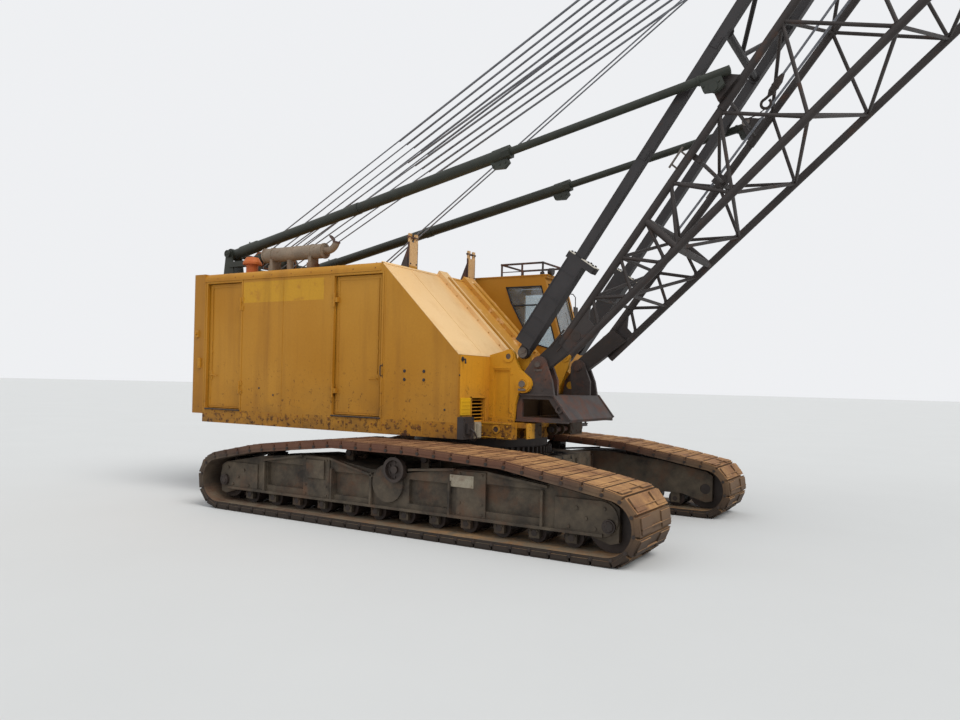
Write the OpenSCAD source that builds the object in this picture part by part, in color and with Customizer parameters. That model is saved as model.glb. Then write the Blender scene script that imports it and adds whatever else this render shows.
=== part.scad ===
// Crawler crane: lattice boom, live mast, engine house and cab on a slewing bed over two tracks.
// Units are millimetres. +X runs forward under the boom, +Y to the driver's left, +Z up.
// The origin lies on the ground under the centre of swing.

/* [Tracks] */
// Distance between the turning centres of one track
track_base = 6240; // [6000:20:6400]
// Outer radius of the belt where it turns at each end
belt_end_r = 430; // [400:5:450]
// Thickness of the belt from sole to inner face
belt_t = 110; // [90:5:130]
// Depth of the gap between two shoes
shoe_gap_depth = 48; // [30:2:70]
// Width of the gap between two shoes
shoe_gap = 26; // [16:2:40]
// Shoes on one belt
shoe_count = 60; // [56:2:64]
// Width of a shoe across the track
shoe_w = 1070; // [900:10:1100]
// Distance from the centre line to the middle of a track
track_y = 2005; // [1990:5:2100]

/* [Track frames] */
// Width of a side frame
frame_w = 700; // [640:10:760]
// Underside of a side frame above the ground
frame_z0 = 330; // [310:5:345]
// Thickness of the fork plates at each end of a side frame
fork_t = 85; // [70:5:110]
// Radius of the lower track rollers
roller_r = 125; // [105:5:135]
// Distance between two lower track rollers
roller_pitch = 480; // [440:10:500]
// Lower track rollers on one side
roller_count = 12; // [8:1:12]
// Radius of the upper carrier rollers
carrier_r = 75; // [60:5:80]
// Radius of the hub in the middle of a side frame
hub_r = 250; // [200:10:270]

/* [Carbody] */
// Length of the carbody box
carbody_l = 2700; // [2400:50:3000]
// Width of the carbody box
carbody_w = 2500; // [2300:50:2600]
// Underside of the carbody box
carbody_z0 = 420; // [380:10:440]
// Top of the carbody box
carbody_z1 = 930; // [900:10:940]
// Outer radius of the swing ring
ring_r = 1120; // [1050:10:1180]
// Teeth on the swing ring
ring_teeth = 72; // [60:4:84]

/* [Revolving bed] */
// Underside of the revolving bed
bed_z0 = 1230; // [1225:5:1250]
// Top of the revolving bed
bed_z1 = 1450; // [1430:10:1480]
// Bed and house width
house_w = 3400; // [3200:50:3500]
// Front of the narrow tongue of the bed
tongue_x = 1300; // [1250:10:1400]

/* [House] */
// Rear face of the counterweight
rear_x = -4840; // [-4900:10:-4700]
// Thickness of the counterweight slab
cwt_t = 320; // [280:10:400]
// Underside of the counterweight
cwt_z0 = 1370; // [1300:10:1430]
// Top of the house roof
roof_z = 3730; // [3650:10:3800]
// Depth of the rolled edge of the roof
roof_lip = 130; // [110:5:140]
// Where the roof ends and the sloping sheet starts
slope_x0 = -740; // [-900:10:-700]
// Front wall of the house
front_x = 630; // [600:10:700]
// Height where the sloping sheet meets the front wall
slope_z1 = 2380; // [2300:10:2450]
// Thickness of a house wall or door
wall_t = 50; // [40:5:60]
// Gap all round a door
door_gap = 10; // [6:1:12]
// How far a house door lies behind the face of the wall
door_recess = 45; // [20:1:45]
// Thickness of a house door
door_t = 20; // [15:1:30]
// Top of the house doors
door_z1 = 3550; // [3450:10:3580]
// Underside of the house doors
door_z0 = 1480; // [1470:5:1520]

/* [Cab] */
// Inner wall of the cab, towards the boom
cab_y0 = 1000; // [990:5:1020]
// Outer wall of the cab
cab_y1 = 1850; // [1800:10:1900]
// Top of the cab walls, under its roof
cab_z1 = 3780; // [3750:5:3800]
// Thickness of the cab roof
cab_roof_t = 50; // [40:5:70]
// Underside of the cab
cab_z0 = 1450; // [1440:5:1460]
// Height of the guard rail on the cab roof
rail_h = 210; // [150:10:230]
// Thickness of the window glass
glass_t = 12; // [8:1:16]

/* [Boom foot] */
// Boom foot pin, forward of the swing centre
boom_x = 1390; // [1370:5:1410]
// Boom foot pin above the ground
boom_z = 2280; // [2260:5:2300]
// Radius of the boom foot pin
boom_pin_r = 55; // [45:5:60]
// Mast foot pin, forward of the swing centre
mast_x = 1130; // [1115:5:1140]
// Mast foot pin above the ground
mast_z = 2450; // [2440:5:2465]
// Radius of the mast foot pin
mast_pin_r = 45; // [35:5:50]
// Upper lug bore, forward of the swing centre
lug_x = 940; // [930:5:950]
// Upper lug bore above the ground
lug_z = 2390; // [2380:5:2400]
// Radius of the upper lug bore
lug_bore_r = 40; // [30:5:50]
// Lower lug pin, forward of the swing centre
low_lug_x = 1180; // [1170:5:1190]
// Lower lug pin above the ground
low_lug_z = 2000; // [1990:5:2010]

/* [Boom] */
// Angle of the boom above level
boom_deg = 48.2; // [46:0.1:50]
// Length of the boom from foot pin to head shaft
boom_l = 21340; // [20000:20:22000]
// Length of the butt section
butt_l = 7620; // [7500:20:7700]
// Length of the insert section
insert_l = 6100; // [6000:20:6200]
// Distance between the centres of the upper and lower chords
boom_h = 1540; // [1480:10:1600]
// Distance between the centres of the right and left chords
boom_w = 1780; // [1740:10:1800]
// Distance between the upper and lower chords at the foot pin
foot_h = 140; // [120:5:170]
// Distance between the right and left chords at the foot pin
foot_w = 1440; // [1420:5:1450]
// Height of the foot pin over the centre line of the butt section
boom_drop = 140; // [120:5:150]
// Radius of a chord tube
chord_r = 54; // [44:2:56]
// Radius of a lacing tube
lace_r = 24; // [18:1:30]
// Length of the web plates between the chords at the boom foot
web_l = 2300; // [2000:20:2350]
// Distance between the chords at the boom head
head_h = 560; // [500:10:620]
// Width between the chords at the boom head
head_w = 800; // [760:10:860]
// Radius of the boom head sheaves
sheave_r = 360; // [300:10:380]

/* [Mast] */
// Angle of the mast above level
mast_deg = 55.3; // [54:0.1:57]
// Length of the mast from foot pin to head shaft
mast_l = 8300; // [7800:20:8600]
// Inner face of a mast leg from the centre line
leg_y0 = 790; // [785:1:800]
// Width of a mast leg across the crane
leg_w = 160; // [140:5:165]
// Depth of the lower, thicker part of a leg
leg_d0 = 270; // [240:10:300]
// Depth of the upper part of a leg
leg_d1 = 130; // [120:5:150]
// Width of the upper part of a leg
leg_w1 = 110; // [90:5:130]
// Distance of the collar plate from the foot pin
collar_s = 1500; // [1300:20:1700]
// Distance of the cross bar from the foot pin
cross_s = 4850; // [4600:20:5100]
// Distance of the upper cross bar from the foot pin
cross_top_s = 6900; // [6700:20:7000]
// Length of the legs along which the two knee braces spread
knee_l = 700; // [600:20:800]

/* [Backstops] */
// Rear pivot of the backstops, along the crane
stop_x = -4610; // [-4640:5:-4580]
// Rear pivot of the backstops above the ground
stop_z = 4170; // [4130:5:4200]
// Distance of a backstop from the centre line
stop_y = 1020; // [1018:1:1030]
// Angle of the backstops above level
stop_deg = 11.2; // [10.5:0.1:12]
// Length of the outer tube
stop_outer_l = 5690; // [5500:20:5900]
// Radius of the outer tube
stop_outer_r = 85; // [80:1:88]
// Distance from the rear pivot to the front lug pin
stop_l = 8550; // [8400:10:8700]
// Length of the sliding rod
stop_rod_l = 5200; // [5000:20:5300]
// Radius of the sliding rod
stop_rod_r = 55; // [45:1:58]

/* [Hoist ropes] */
// Radius of a boom hoist rope
hoist_rope_r = 11; // [8:1:12]
// Length of the lower part of each rope, from the gantry
hoist_low_l = 8200; // [8000:20:8400]
// Where the upper part of each rope begins, from the gantry
hoist_high_s = 3600; // [3500:20:3800]

/* [Pendants] */
// Radius of a pendant rope
pendant_r = 19; // [14:1:24]
// Distance of a pendant from the centre line
pendant_y = 560; // [520:5:600]
// Height of the pendant pin over the boom's centre line
pendant_up = 450; // [400:10:500]

/* [Fits] */
// Small gap where one piece is seated in another
seat = 0.3; // [0.2:0.1:0.5]
// Radial clearance of a pivot pin
pivot_gap = 0.5; // [0.3:0.1:0.8]

/* [Hidden] */
$fn = 48;

yellow = [0.80, 0.56, 0.16];
dark = [0.20, 0.18, 0.18];
green = [0.18, 0.21, 0.16];
rust = [0.45, 0.32, 0.22];
grime = [0.34, 0.31, 0.27];
glass_tint = [0.45, 0.55, 0.55, 0.5];

RIGHT = -1;
LEFT = 1;

// Helpers: boxes by their limits, plates drawn in the side view and rods between two points.
module block(x, y, z) translate([x[0], y[0], z[0]]) cube([x[1] - x[0], y[1] - y[0], z[1] - z[0]]);
module side_plate(points, y)
    translate([0, y[1], 0]) rotate([90, 0, 0]) linear_extrude(y[1] - y[0]) polygon(points);
module y_rod(x, z, y, r) translate([x, y[0], z]) rotate([-90, 0, 0]) cylinder(h = y[1] - y[0], r = r);
module rod(p, q, r, sides = 8, spin = 0) {
    d = q - p;
    translate(p) rotate([0, acos(d[2] / norm(d)), atan2(d[1], d[0])]) rotate([0, 0, spin])
        cylinder(h = norm(d), r = r, $fn = sides);
}
module to_side(side) mirror([0, side == LEFT ? 0 : 1, 0]) children();
module both_sides() {
    children();
    mirror([0, 1, 0]) children();
}
function arc(c, r, a0, a1, n) =
    [for (i = [0:n]) c + r * [cos(a0 + (a1 - a0) * i / n), sin(a0 + (a1 - a0) * i / n)]];

// Track belt. Its outer line is one closed path: flat below, round at both ends and lifted
// on top where each carrier roller holds it.
end_x = track_base / 2;
// columns: x of a carrier roller, height of the belt's outer face over it
carriers = [[1790, 1090], [430, 1165], [-860, 1170], [-2400, 1010]];
belt_path = concat([[-end_x, 0]],
    arc([end_x, belt_end_r], belt_end_r, -90, 75, 11),
    [[2800, 930]], carriers,
    arc([-end_x, belt_end_r], belt_end_r, 105, 255, 10));
path_n = len(belt_path);
function path_p(i) = belt_path[i % path_n];
path_s = [for (i = 0, s = 0; i <= path_n; s = s + norm(path_p(i + 1) - path_p(i)), i = i + 1) s];
path_total = path_s[path_n];
function path_seg(s) = max([for (k = [0:path_n - 1]) if (path_s[k] <= s) k]);
function path_at(s, depth = 0) =
    let (w = s - path_total * floor(s / path_total), k = path_seg(w), p = path_p(k),
         d = (path_p(k + 1) - p) / norm(path_p(k + 1) - p))
    p + (w - path_s[k]) * d + depth * [-d[1], d[0]];
shoe_pitch = path_total / shoe_count;
belt_outer = [for (i = [0:shoe_count - 1])
    let (s0 = i * shoe_pitch + shoe_gap / 2, s1 = (i + 1) * shoe_pitch - shoe_gap / 2)
    each [path_at(s0, shoe_gap_depth), path_at(s0), path_at(s1), path_at(s1, shoe_gap_depth)]];
inner_r = belt_end_r - belt_t;
inner_front = concat([[-end_x, belt_t]], arc([end_x, belt_end_r], inner_r, -90, 75, 18));
belt_inner = concat(inner_front, [for (c = carriers) [c[0], c[1] - belt_t]],
    arc([-end_x, belt_end_r], inner_r, 105, 262.5, 19));
// A carrier roller touches the steeper of the two runs that meet over it.
function run_slope(i) = let (d = belt_inner[i + 1] - belt_inner[i]) abs(d[1] / d[0]);
carrier_axes = [for (i = [0:len(carriers) - 1])
    let (k = len(inner_front) + i, m = max(run_slope(k - 1), run_slope(k)))
    [carriers[i][0], belt_inner[k][1] - (carrier_r + seat) * sqrt(1 + m * m)]];

module track(side) color(rust) to_side(side)
    difference() {
        side_plate(belt_outer, [track_y - shoe_w / 2, track_y + shoe_w / 2]);
        side_plate(belt_inner, [track_y - shoe_w / 2 - 1, track_y + shoe_w / 2 + 1]);
    }

// Side frames, with a fork at each end for the tumblers and a slot below for the rollers.
frame_y = [track_y - frame_w / 2, track_y + frame_w / 2];
fork_y = [frame_y[0] + fork_t, frame_y[1] - fork_t];
fork_x = end_x - 370;
// columns: x, z of the upper edge of the front half
frame_top = [[300, 800], [1050, 905], [1500, 915], [2400, 830], [end_x + 10, 700],
             [end_x + 110, 640]];
frame_half = concat(frame_top, [[end_x + 110, 250], [end_x + 10, 220], [fork_x, frame_z0]]);
frame_n = len(frame_half);
frame_outline = concat(frame_half,
    [for (i = [frame_n - 1:-1:0]) [-frame_half[i][0], frame_half[i][1]]]);
roller_z = belt_t + seat + roller_r;
roller_x = [for (i = [0:roller_count - 1]) (i - (roller_count - 1) / 2) * roller_pitch];
roller_shaft_r = 38;
carrier_shaft_r = 28;
carrier_w = 220;
carrier_cheek = 40;
carrier_pocket = carrier_r + 12;
tumbler_shaft_r = 80;
axle_x = 950;
axle_half = 230;

module roller_seats() for (x = roller_x) {
    block([x - 70, x + 70], [frame_y[0] + 20, fork_y[0] - 10], [roller_z - 60, frame_z0 + 20]);
    block([x - 70, x + 70], [fork_y[1] + 10, frame_y[1] - 20], [roller_z - 60, frame_z0 + 20]);
}
module carrier_seats() for (c = carrier_axes) for (s = [-1, 1])
    translate([0, track_y + s * (carrier_w / 2 + carrier_cheek / 2), 0])
        block([c[0] - 60, c[0] + 60], [-carrier_cheek / 2, carrier_cheek / 2], [700, c[1] + 45]);
// columns: x limits and z limits of each recess in the outer face of a side frame
recesses = [[-2250, -1180, 420, 760], [-960, -330, 400, 720], [330, 960, 400, 720],
            [1180, 2250, 420, 760]];

module track_frame(side) color(grime) to_side(side) difference() {
    union() {
        side_plate(frame_outline, frame_y);
        roller_seats();
        carrier_seats();
        y_rod(0, 640, [frame_y[0], frame_y[1] + 40], hub_r);
    }
    for (r = recesses) block([r[0], r[1]], [frame_y[1] - 60, frame_y[1] + 1], [r[2], r[3]]);
    block([-fork_x + 1, fork_x - 1], fork_y, [frame_z0 - 1, roller_z + roller_r + 25]);
    for (s = [-1, 1]) translate([s * (end_x + 10), 0, 0]) block([-380, 380], fork_y, [100, 900]);
    for (s = [-1, 1])
        y_rod(s * end_x, belt_end_r, [frame_y[0] - 1, frame_y[1] + 1], tumbler_shaft_r + seat);
    for (x = roller_x) y_rod(x, roller_z, [frame_y[0] + 10, frame_y[1] - 10], roller_shaft_r + seat);
    for (c = carrier_axes) {
        y_rod(c[0], c[1], [track_y - carrier_w, track_y + carrier_w], carrier_shaft_r + seat);
        block([c[0] - carrier_pocket, c[0] + carrier_pocket],
              [track_y - carrier_w / 2, track_y + carrier_w / 2],
              [c[1] - carrier_pocket, c[1] + carrier_pocket]);
    }
}

tumbler_r = inner_r - 1.5;
lobe_half = 60;
lobe_face = sqrt(tumbler_r * tumbler_r - lobe_half * lobe_half);
module end_roller(x, lobes) {
    y_rod(x, belt_end_r, [fork_y[0] + 20, fork_y[1] - 20], tumbler_r - (lobes ? 45 : 0));
    y_rod(x, belt_end_r, [frame_y[0] + 10, frame_y[1] + 60], tumbler_shaft_r);
    if (lobes) for (a = [0:45:315])
        translate([x, 0, belt_end_r]) rotate([0, a, 0])
            block([tumbler_r - 90, lobe_face], [fork_y[0] + 120, fork_y[1] - 120],
                  [-lobe_half, lobe_half]);
}
module drive_tumblers() color(grime) both_sides() end_roller(-end_x, true);
module idlers() color(grime) both_sides() end_roller(end_x, false);

module track_rollers() color(dark) both_sides() {
    for (x = roller_x) {
        y_rod(x, roller_z, [fork_y[0] + 15, fork_y[1] - 15], roller_r - 20);
        y_rod(x, roller_z, [fork_y[0] + 15, fork_y[0] + 175], roller_r);
        y_rod(x, roller_z, [fork_y[1] - 175, fork_y[1] - 15], roller_r);
        y_rod(x, roller_z, [frame_y[0] + 15, frame_y[1] - 15], roller_shaft_r);
    }
    for (c = carrier_axes) {
        y_rod(c[0], c[1], [track_y - carrier_w / 2 + 5, track_y + carrier_w / 2 - 5], carrier_r);
        y_rod(c[0], c[1], [track_y - carrier_w / 2 - 38, track_y + carrier_w / 2 + 38], carrier_shaft_r);
    }
}

// Carbody with two cross axles that reach the side frames, and the toothed swing ring on it.
ring_z = [carbody_z1 + 30, bed_z0 - 40];
module carbody() color(grime) {
    block([-carbody_l / 2, carbody_l / 2], [-carbody_w / 2, carbody_w / 2], [carbody_z0, carbody_z1]);
    for (s = [-1, 1]) translate([s * axle_x, 0, 0])
        block([-axle_half, axle_half], [-frame_y[0], frame_y[0]], [carbody_z0 + 10, carbody_z1 - 100]);
    translate([0, 0, carbody_z1]) cylinder(h = ring_z[0] - carbody_z1, r = ring_r + 40);
}
tooth_h = 45;
ring_outline = [for (i = [0:ring_teeth - 1]) let (a = 360 / ring_teeth)
    each [for (t = [[-0.30, -tooth_h], [-0.16, 0], [0.16, 0], [0.30, -tooth_h]])
        (ring_r + t[1]) * [cos((i + t[0]) * a), sin((i + t[0]) * a)]]];
module swing_ring() color(dark) {
    translate([0, 0, ring_z[0]]) linear_extrude(110) difference() {
        polygon(ring_outline);
        circle(r = ring_r - 220);
    }
    translate([0, 0, ring_z[0] + 110]) difference() {
        cylinder(h = ring_z[1] - ring_z[0] - 110, r = ring_r - 70);
        translate([0, 0, -1]) cylinder(h = 300, r = ring_r - 220);
    }
}

// Revolving bed: deck, side channels, centre beams, ring seat and the front boxes.
half_w = house_w / 2;
cwt_x = rear_x + cwt_t;
lug_y = [800, 860];
lug_boss_r = 105;
low_lug_r = 130;
ear_y = [640, 690];
lug_x1 = 1040;
lug_outline = concat(
    [[front_x, bed_z1], [lug_x1, bed_z1], [1060, 1700]],
    arc([low_lug_x, low_lug_z], low_lug_r, -120, 60, 8),
    [[low_lug_x - 60, low_lug_z + 210]],
    arc([lug_x, lug_z], lug_boss_r, -5, 130, 6),
    [[front_x, slope_z1 + 30]]);
bracket_outline = concat(
    [[760, bed_z1], [lug_x1, bed_z1], [lug_x1, 1950], [1190, 2290]],
    arc([mast_x, mast_z], 90, -30, 170, 8),
    [[960, 2300], [760, 1900]]);
low_pin_r = 60;
mast_ear_y = [700, 780];

module revolving_bed() color(yellow) {
    block([cwt_x, front_x], [-half_w + wall_t, half_w - wall_t], [bed_z1 - 70, bed_z1]);
    block([front_x - 10, tongue_x], [-960, 960], [bed_z1 - 70, bed_z1]);
    both_sides() {
        block([cwt_x, front_x], [half_w - 100, half_w], [bed_z0, bed_z1]);
        block([cwt_x, tongue_x], [560, 760], [bed_z0, bed_z1 - 60]);
        block([front_x - 10, lug_x1], lug_y, [bed_z0, bed_z1 - 60]);
        block([front_x, front_x + 530], [960, 1140], [bed_z0 - 10, bed_z1]);
    }
    block([front_x - 60, front_x], [-half_w, half_w], [bed_z0, bed_z1]);
    translate([0, 0, ring_z[1] + seat]) cylinder(h = bed_z1 - 40 - ring_z[1], r = ring_r - 60);
}

// Lug plates and mast brackets that stand on the bed, with the lower lug pins and the mast foot pins.
lug_recess = [[710, 970], [1520, 2190]];
module front_lugs() color(yellow) both_sides() {
    difference() {
        side_plate(lug_outline, lug_y);
        y_rod(lug_x, lug_z, [lug_y[0] - 1, lug_y[1] + 1], lug_bore_r);
        block(lug_recess[0], [lug_y[1] - 20, lug_y[1] + 1], lug_recess[1]);
    }
    side_plate(bracket_outline, ear_y);
    y_rod(low_lug_x, low_lug_z, [foot_plate_y[0], lug_y[1] + 30], low_pin_r);
    y_rod(mast_x, mast_z, [ear_y[0] - 20, mast_ear_y[1] + 12], mast_pin_r);
}

// Dark frame in front of the bed: it hangs on the lower lug pins and carries the boom foot pins.
foot_plate_y = [750, 800];
foot_ear_y = [560, 610];
boom_ear_y = [625, 735];
foot_outline = concat(
    [[1060, 1480], [1880, 1480], [1900, 1520], [1640, 1850], [1600, 2060]],
    arc([boom_x, boom_z], 120, 0, 150, 6),
    [[low_lug_x - 100, low_lug_z + 60], [1060, 1830]]);
foot_window = [[1150, 1530], [1760, 1530], [1560, 1790], [1150, 1790]];
foot_ear = concat([[1300, 1840], [1600, 1840], [1600, 2060]], arc([boom_x, boom_z], 120, 0, 180, 6),
    [[1270, 2100]]);
module boom_foot_frame() color(dark) difference() {
    union() {
        both_sides() {
            side_plate(foot_outline, foot_plate_y);
            side_plate(foot_ear, foot_ear_y);
            y_rod(boom_x, boom_z, [foot_ear_y[0] - 15, foot_plate_y[1] + 25], boom_pin_r);
        }
        block([1060, 1880], [-foot_plate_y[0], foot_plate_y[0]], [1480, 1530]);
        block([1070, 1640], [-foot_plate_y[0], foot_plate_y[0]], [1800, 1850]);
        side_plate([[1820, 1480], [1880, 1480], [1900, 1520], [1640, 1850], [1576, 1850], [1820, 1540]],
            [-foot_plate_y[0], foot_plate_y[0]]);
    }
    both_sides() {
        side_plate(foot_window, [foot_plate_y[0] - 1, foot_plate_y[1] + 1]);
        y_rod(low_lug_x, low_lug_z, [foot_plate_y[0] - 1, foot_plate_y[1] + 1], low_pin_r + seat);
    }
}

// Counterweight: a slab over the full width and height behind the house, with rounded corners.
module counterweight() color(yellow) {
    r = 90;
    translate([rear_x, 0, cwt_z0]) linear_extrude(roof_z - cwt_z0) polygon(concat(
        arc([r, half_w - r], r, 90, 180, 6), arc([r, -half_w + r], r, 180, 270, 6),
        [[cwt_t, -half_w], [cwt_t, half_w]]));
}

// House walls. Doors share their limits with the holes that are cut for them.
// columns: name, rear edge, front edge
right_doors = [["rear", -4430, -3640], ["front", -1610, -720]];
left_doors = [["rear", -4430, -3640], ["front", -1610, -830]];
wall_z1 = roof_z - roof_lip;
slope_f = (roof_z - slope_z1) / (front_x - slope_x0);
function slope_at(x) = roof_z - slope_f * (x - slope_x0);
slope_drop = wall_t * sqrt(1 + slope_f * slope_f);
slope_end = front_x - wall_t - seat;
// A hinge stands outside the wall: the wall holds the end knuckles and the door the middle one.
knuckle_r = 14;
knuckle_h = 70;
module knuckle(x, face, z, leaf, back = 0) {
    translate([x, face + knuckle_r + seat, z]) cylinder(h = knuckle_h, r = knuckle_r, $fn = 24);
    block([min(x, x + leaf), max(x, x + leaf)], [face - back - 1, face + 12], [z, z + knuckle_h]);
}
// hinge_x is in the middle of the door gap; dir is +1 where the door lies ahead of its hinge.
module wall_knuckles(x, dir, face, z) for (h = z) for (s = [-1, 1])
    knuckle(x, face, h + s * (knuckle_h + seat) - knuckle_h / 2, -dir * 60);
module door_knuckles(x, dir, face, z, back = 0)
    for (h = z) knuckle(x, face, h - knuckle_h / 2, dir * 60, back);
hinge_z = [door_z0 + 350, door_z1 - 350];
module door_holes(side, doors) to_side(side) for (d = doors)
    block([d[1] - door_gap, d[2] + door_gap], [half_w - wall_t - 1, half_w + 1],
          [door_z0 - door_gap, door_z1 + door_gap]);
function hinge_x(d) = d[0] == "rear" ? d[2] + door_gap / 2 : d[1] - door_gap / 2;
function hinge_dir(d) = d[0] == "rear" ? -1 : 1;
module house_hinges(side, doors) to_side(side) for (d = doors)
    wall_knuckles(hinge_x(d), hinge_dir(d), half_w, hinge_z);
module house_side_right() color(yellow) {
    house_hinges(RIGHT, right_doors);
    difference() {
        to_side(RIGHT) side_plate([[cwt_x, bed_z1], [cwt_x, wall_z1], [slope_x0 + seat, wall_z1],
            [slope_x0 + seat, slope_at(slope_x0 + seat)], [front_x, slope_z1], [front_x, bed_z1]],
            [half_w - wall_t, half_w]);
        door_holes(RIGHT, right_doors);
    }
}
cab_back_x = -800;
module house_side_left() color(yellow) {
    house_hinges(LEFT, left_doors);
    difference() {
        to_side(LEFT) side_plate([[cwt_x, bed_z1], [cwt_x, wall_z1], [cab_back_x, wall_z1],
            [cab_back_x, bed_z1]], [half_w - wall_t, half_w]);
        door_holes(LEFT, left_doors);
    }
}
rope_slot_x = [-4000, -1750];
rope_slot_y = [250, 600];
module house_roof() color(yellow) {
    r = 90;
    outer = concat([[-half_w, 0]], arc([-half_w + r, roof_lip - r], r, 180, 90, 6),
        arc([half_w - r, roof_lip - r], r, 90, 0, 6), [[half_w, 0]]);
    inner = concat([[half_w - wall_t, 0]], arc([half_w - r, roof_lip - r], r - wall_t, 0, 90, 6),
        arc([-half_w + r, roof_lip - r], r - wall_t, 90, 180, 6), [[-half_w + wall_t, 0]]);
    difference() {
        translate([cwt_x, 0, wall_z1]) rotate([90, 0, 90])
            linear_extrude(slope_x0 - cwt_x) polygon(concat(outer, inner));
        block([cab_back_x, slope_x0 + 1], [cab_y0, half_w + 1], [wall_z1 - 1, roof_z + 1]);
        block(rope_slot_x, rope_slot_y, [wall_z1, roof_z + 1]);
    }
    for (y = [-920, 780]) difference() {
        block([slope_x0 - 30, slope_x0], [y - 110, y + 110], [roof_z - 10, 4260]);
        block([slope_x0 - 31, slope_x0 + 1], [y - 45, y + 45], [4130, 4261]);
    }
}
module house_slope() color([0.89, 0.71, 0.48]) {
    side_plate([[slope_x0, roof_z], [slope_end, slope_at(slope_end)],
        [slope_end, slope_at(slope_end) - slope_drop], [slope_x0, roof_z - slope_drop]],
        [-half_w + wall_t + seat, cab_y0]);
    for (y = [[-270, -30], [470, 800]])
        side_plate([[slope_x0, roof_z], [slope_x0 + 40, roof_z + 60],
            [slope_end, slope_at(slope_end) + 90], [slope_end, slope_at(slope_end)]], y);
}
module house_front() color(yellow) difference() {
    side_plate([[front_x - wall_t, bed_z1], [front_x, bed_z1], [front_x, slope_z1],
        [front_x - wall_t, slope_at(front_x - wall_t)]], [-half_w + wall_t, cab_y0]);
    block([front_x - wall_t - 1, front_x + 1], [-1355, -1000], [bed_z1 + 20, 1787]);
}

module house_door(side, d) color(yellow) to_side(side) {
    block([d[1], d[2]], [half_w - door_recess - door_t, half_w - door_recess], [door_z0, door_z1]);
    door_knuckles(hinge_x(d), hinge_dir(d), half_w, hinge_z, door_recess);
}

// Machinery inside the house.
module engine() color(grime) block([-3500, -2000], [-550, 550], [bed_z1, 2550]);
drum_x = -1100;
drum_z = 1950;
module hoist_drums() color(grime) {
    for (y = [-900, 0, 900]) side_plate([[drum_x - 300, bed_z1], [drum_x + 300, bed_z1],
        [drum_x + 120, drum_z + 120], [drum_x - 120, drum_z + 120]], [y - 30, y + 30]);
    y_rod(drum_x, drum_z, [-930, 930], 60);
    for (y = [-450, 450]) {
        y_rod(drum_x, drum_z, [y - 380, y + 380], 230);
        for (e = [-380, 350]) y_rod(drum_x, drum_z, [y + e, y + e + 30], 330);
    }
}

// Rear gantry on the roof: clevises for the backstops and the lower boom hoist sheaves.
gantry_pin_r = 45;
gantry_cheek = 25;
gantry_gap = 10;
gantry_half = stop_y + 160;
// middle of each sheave on the gantry, across the crane
hoist_y = [-400, -200, 0, 200, 400];
hoist_low_r = 150;
gantry_outline = concat([[stop_x - 130, roof_z], [stop_x + 150, roof_z]],
    arc([stop_x, stop_z], 75, 0, 180, 8));
module rear_gantry() color(rust) {
    block([stop_x - 130, stop_x + 150], [-gantry_half, gantry_half], [roof_z, roof_z + 30]);
    for (side = [-1, 1]) translate([0, side * stop_y, 0])
        for (s = [-1, 1]) translate([0, s * (stop_outer_r + gantry_gap + gantry_cheek / 2), 0])
            side_plate(gantry_outline, [-gantry_cheek / 2, gantry_cheek / 2]);
    y_rod(stop_x, stop_z, [-gantry_half, gantry_half], gantry_pin_r);
    for (y = hoist_y) y_rod(stop_x, stop_z, [y - 25, y + 25], hoist_low_r);
    for (y = [-500, 500]) side_plate(gantry_outline, [y - 20, y + 20]);
}

// Exhaust muffler on saddles, with an elbow at its front end.
muffler_y = -1350;
muffler_z = 4030;
muffler_x = [-3450, -2150];
elbow_x = -2090;
elbow_r = 180;
module muffler() color(grime) {
    translate([muffler_x[0], muffler_y, muffler_z]) rotate([0, 90, 0])
        cylinder(h = muffler_x[1] - muffler_x[0], r = 115);
    translate([muffler_x[1] - 10, muffler_y, muffler_z]) rotate([0, 90, 0])
        cylinder(h = elbow_x - muffler_x[1] + 10, r = 55);
    translate([elbow_x, muffler_y, muffler_z + elbow_r]) rotate([90, 90, 0])
        rotate_extrude(angle = 75, $fn = 48) translate([elbow_r, 0]) circle(r = 55, $fn = 24);
    for (x = [-3250, -2400])
        block([x - 30, x + 30], [muffler_y - 90, muffler_y + 90], [roof_z, muffler_z - 60]);
    translate([-2900, muffler_y, roof_z]) cylinder(h = muffler_z - roof_z, r = 55);
}

// Cab. Its side view is one outline; the walls stand between that and a smaller one.
cab_wall = 50;
cab_outline = [[cab_back_x, cab_z0], [950, cab_z0], [950, 2450], [560, cab_z1], [cab_back_x, cab_z1]];
cab_inside = [[cab_back_x + cab_wall, cab_z0 + 60], [950 - cab_wall, cab_z0 + 60],
    [950 - cab_wall, 2440], [560 - cab_wall, cab_z1 + 1], [cab_back_x + cab_wall, cab_z1 + 1]];
side_window = [[-160, 3640], [500, 3640], [820, 2560], [330, 2700], [-60, 3375]];
cab_door_x = [-330, 480];
cab_door_z = [cab_z0 + 80, 3700];
door_window = [[-230, 2560], [400, 2560], [400, 3600], [-230, 3600]];
function lerp(a, b, t) = a + (b - a) * t;
function shield(t) = lerp([950, 2450], [560, cab_z1], t);
shield_limits = [0.08, 0.92];
shield_y = [cab_y0 + 90, cab_y1 - 90];
shield_n = [cab_z1 - 2450, 390] / norm([cab_z1 - 2450, 390]);
module shield_slab(t0, t1, y, into, thick) side_plate([shield(t0) - into * shield_n,
    shield(t1) - into * shield_n, shield(t1) - (into + thick) * shield_n,
    shield(t0) - (into + thick) * shield_n], y);
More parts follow.
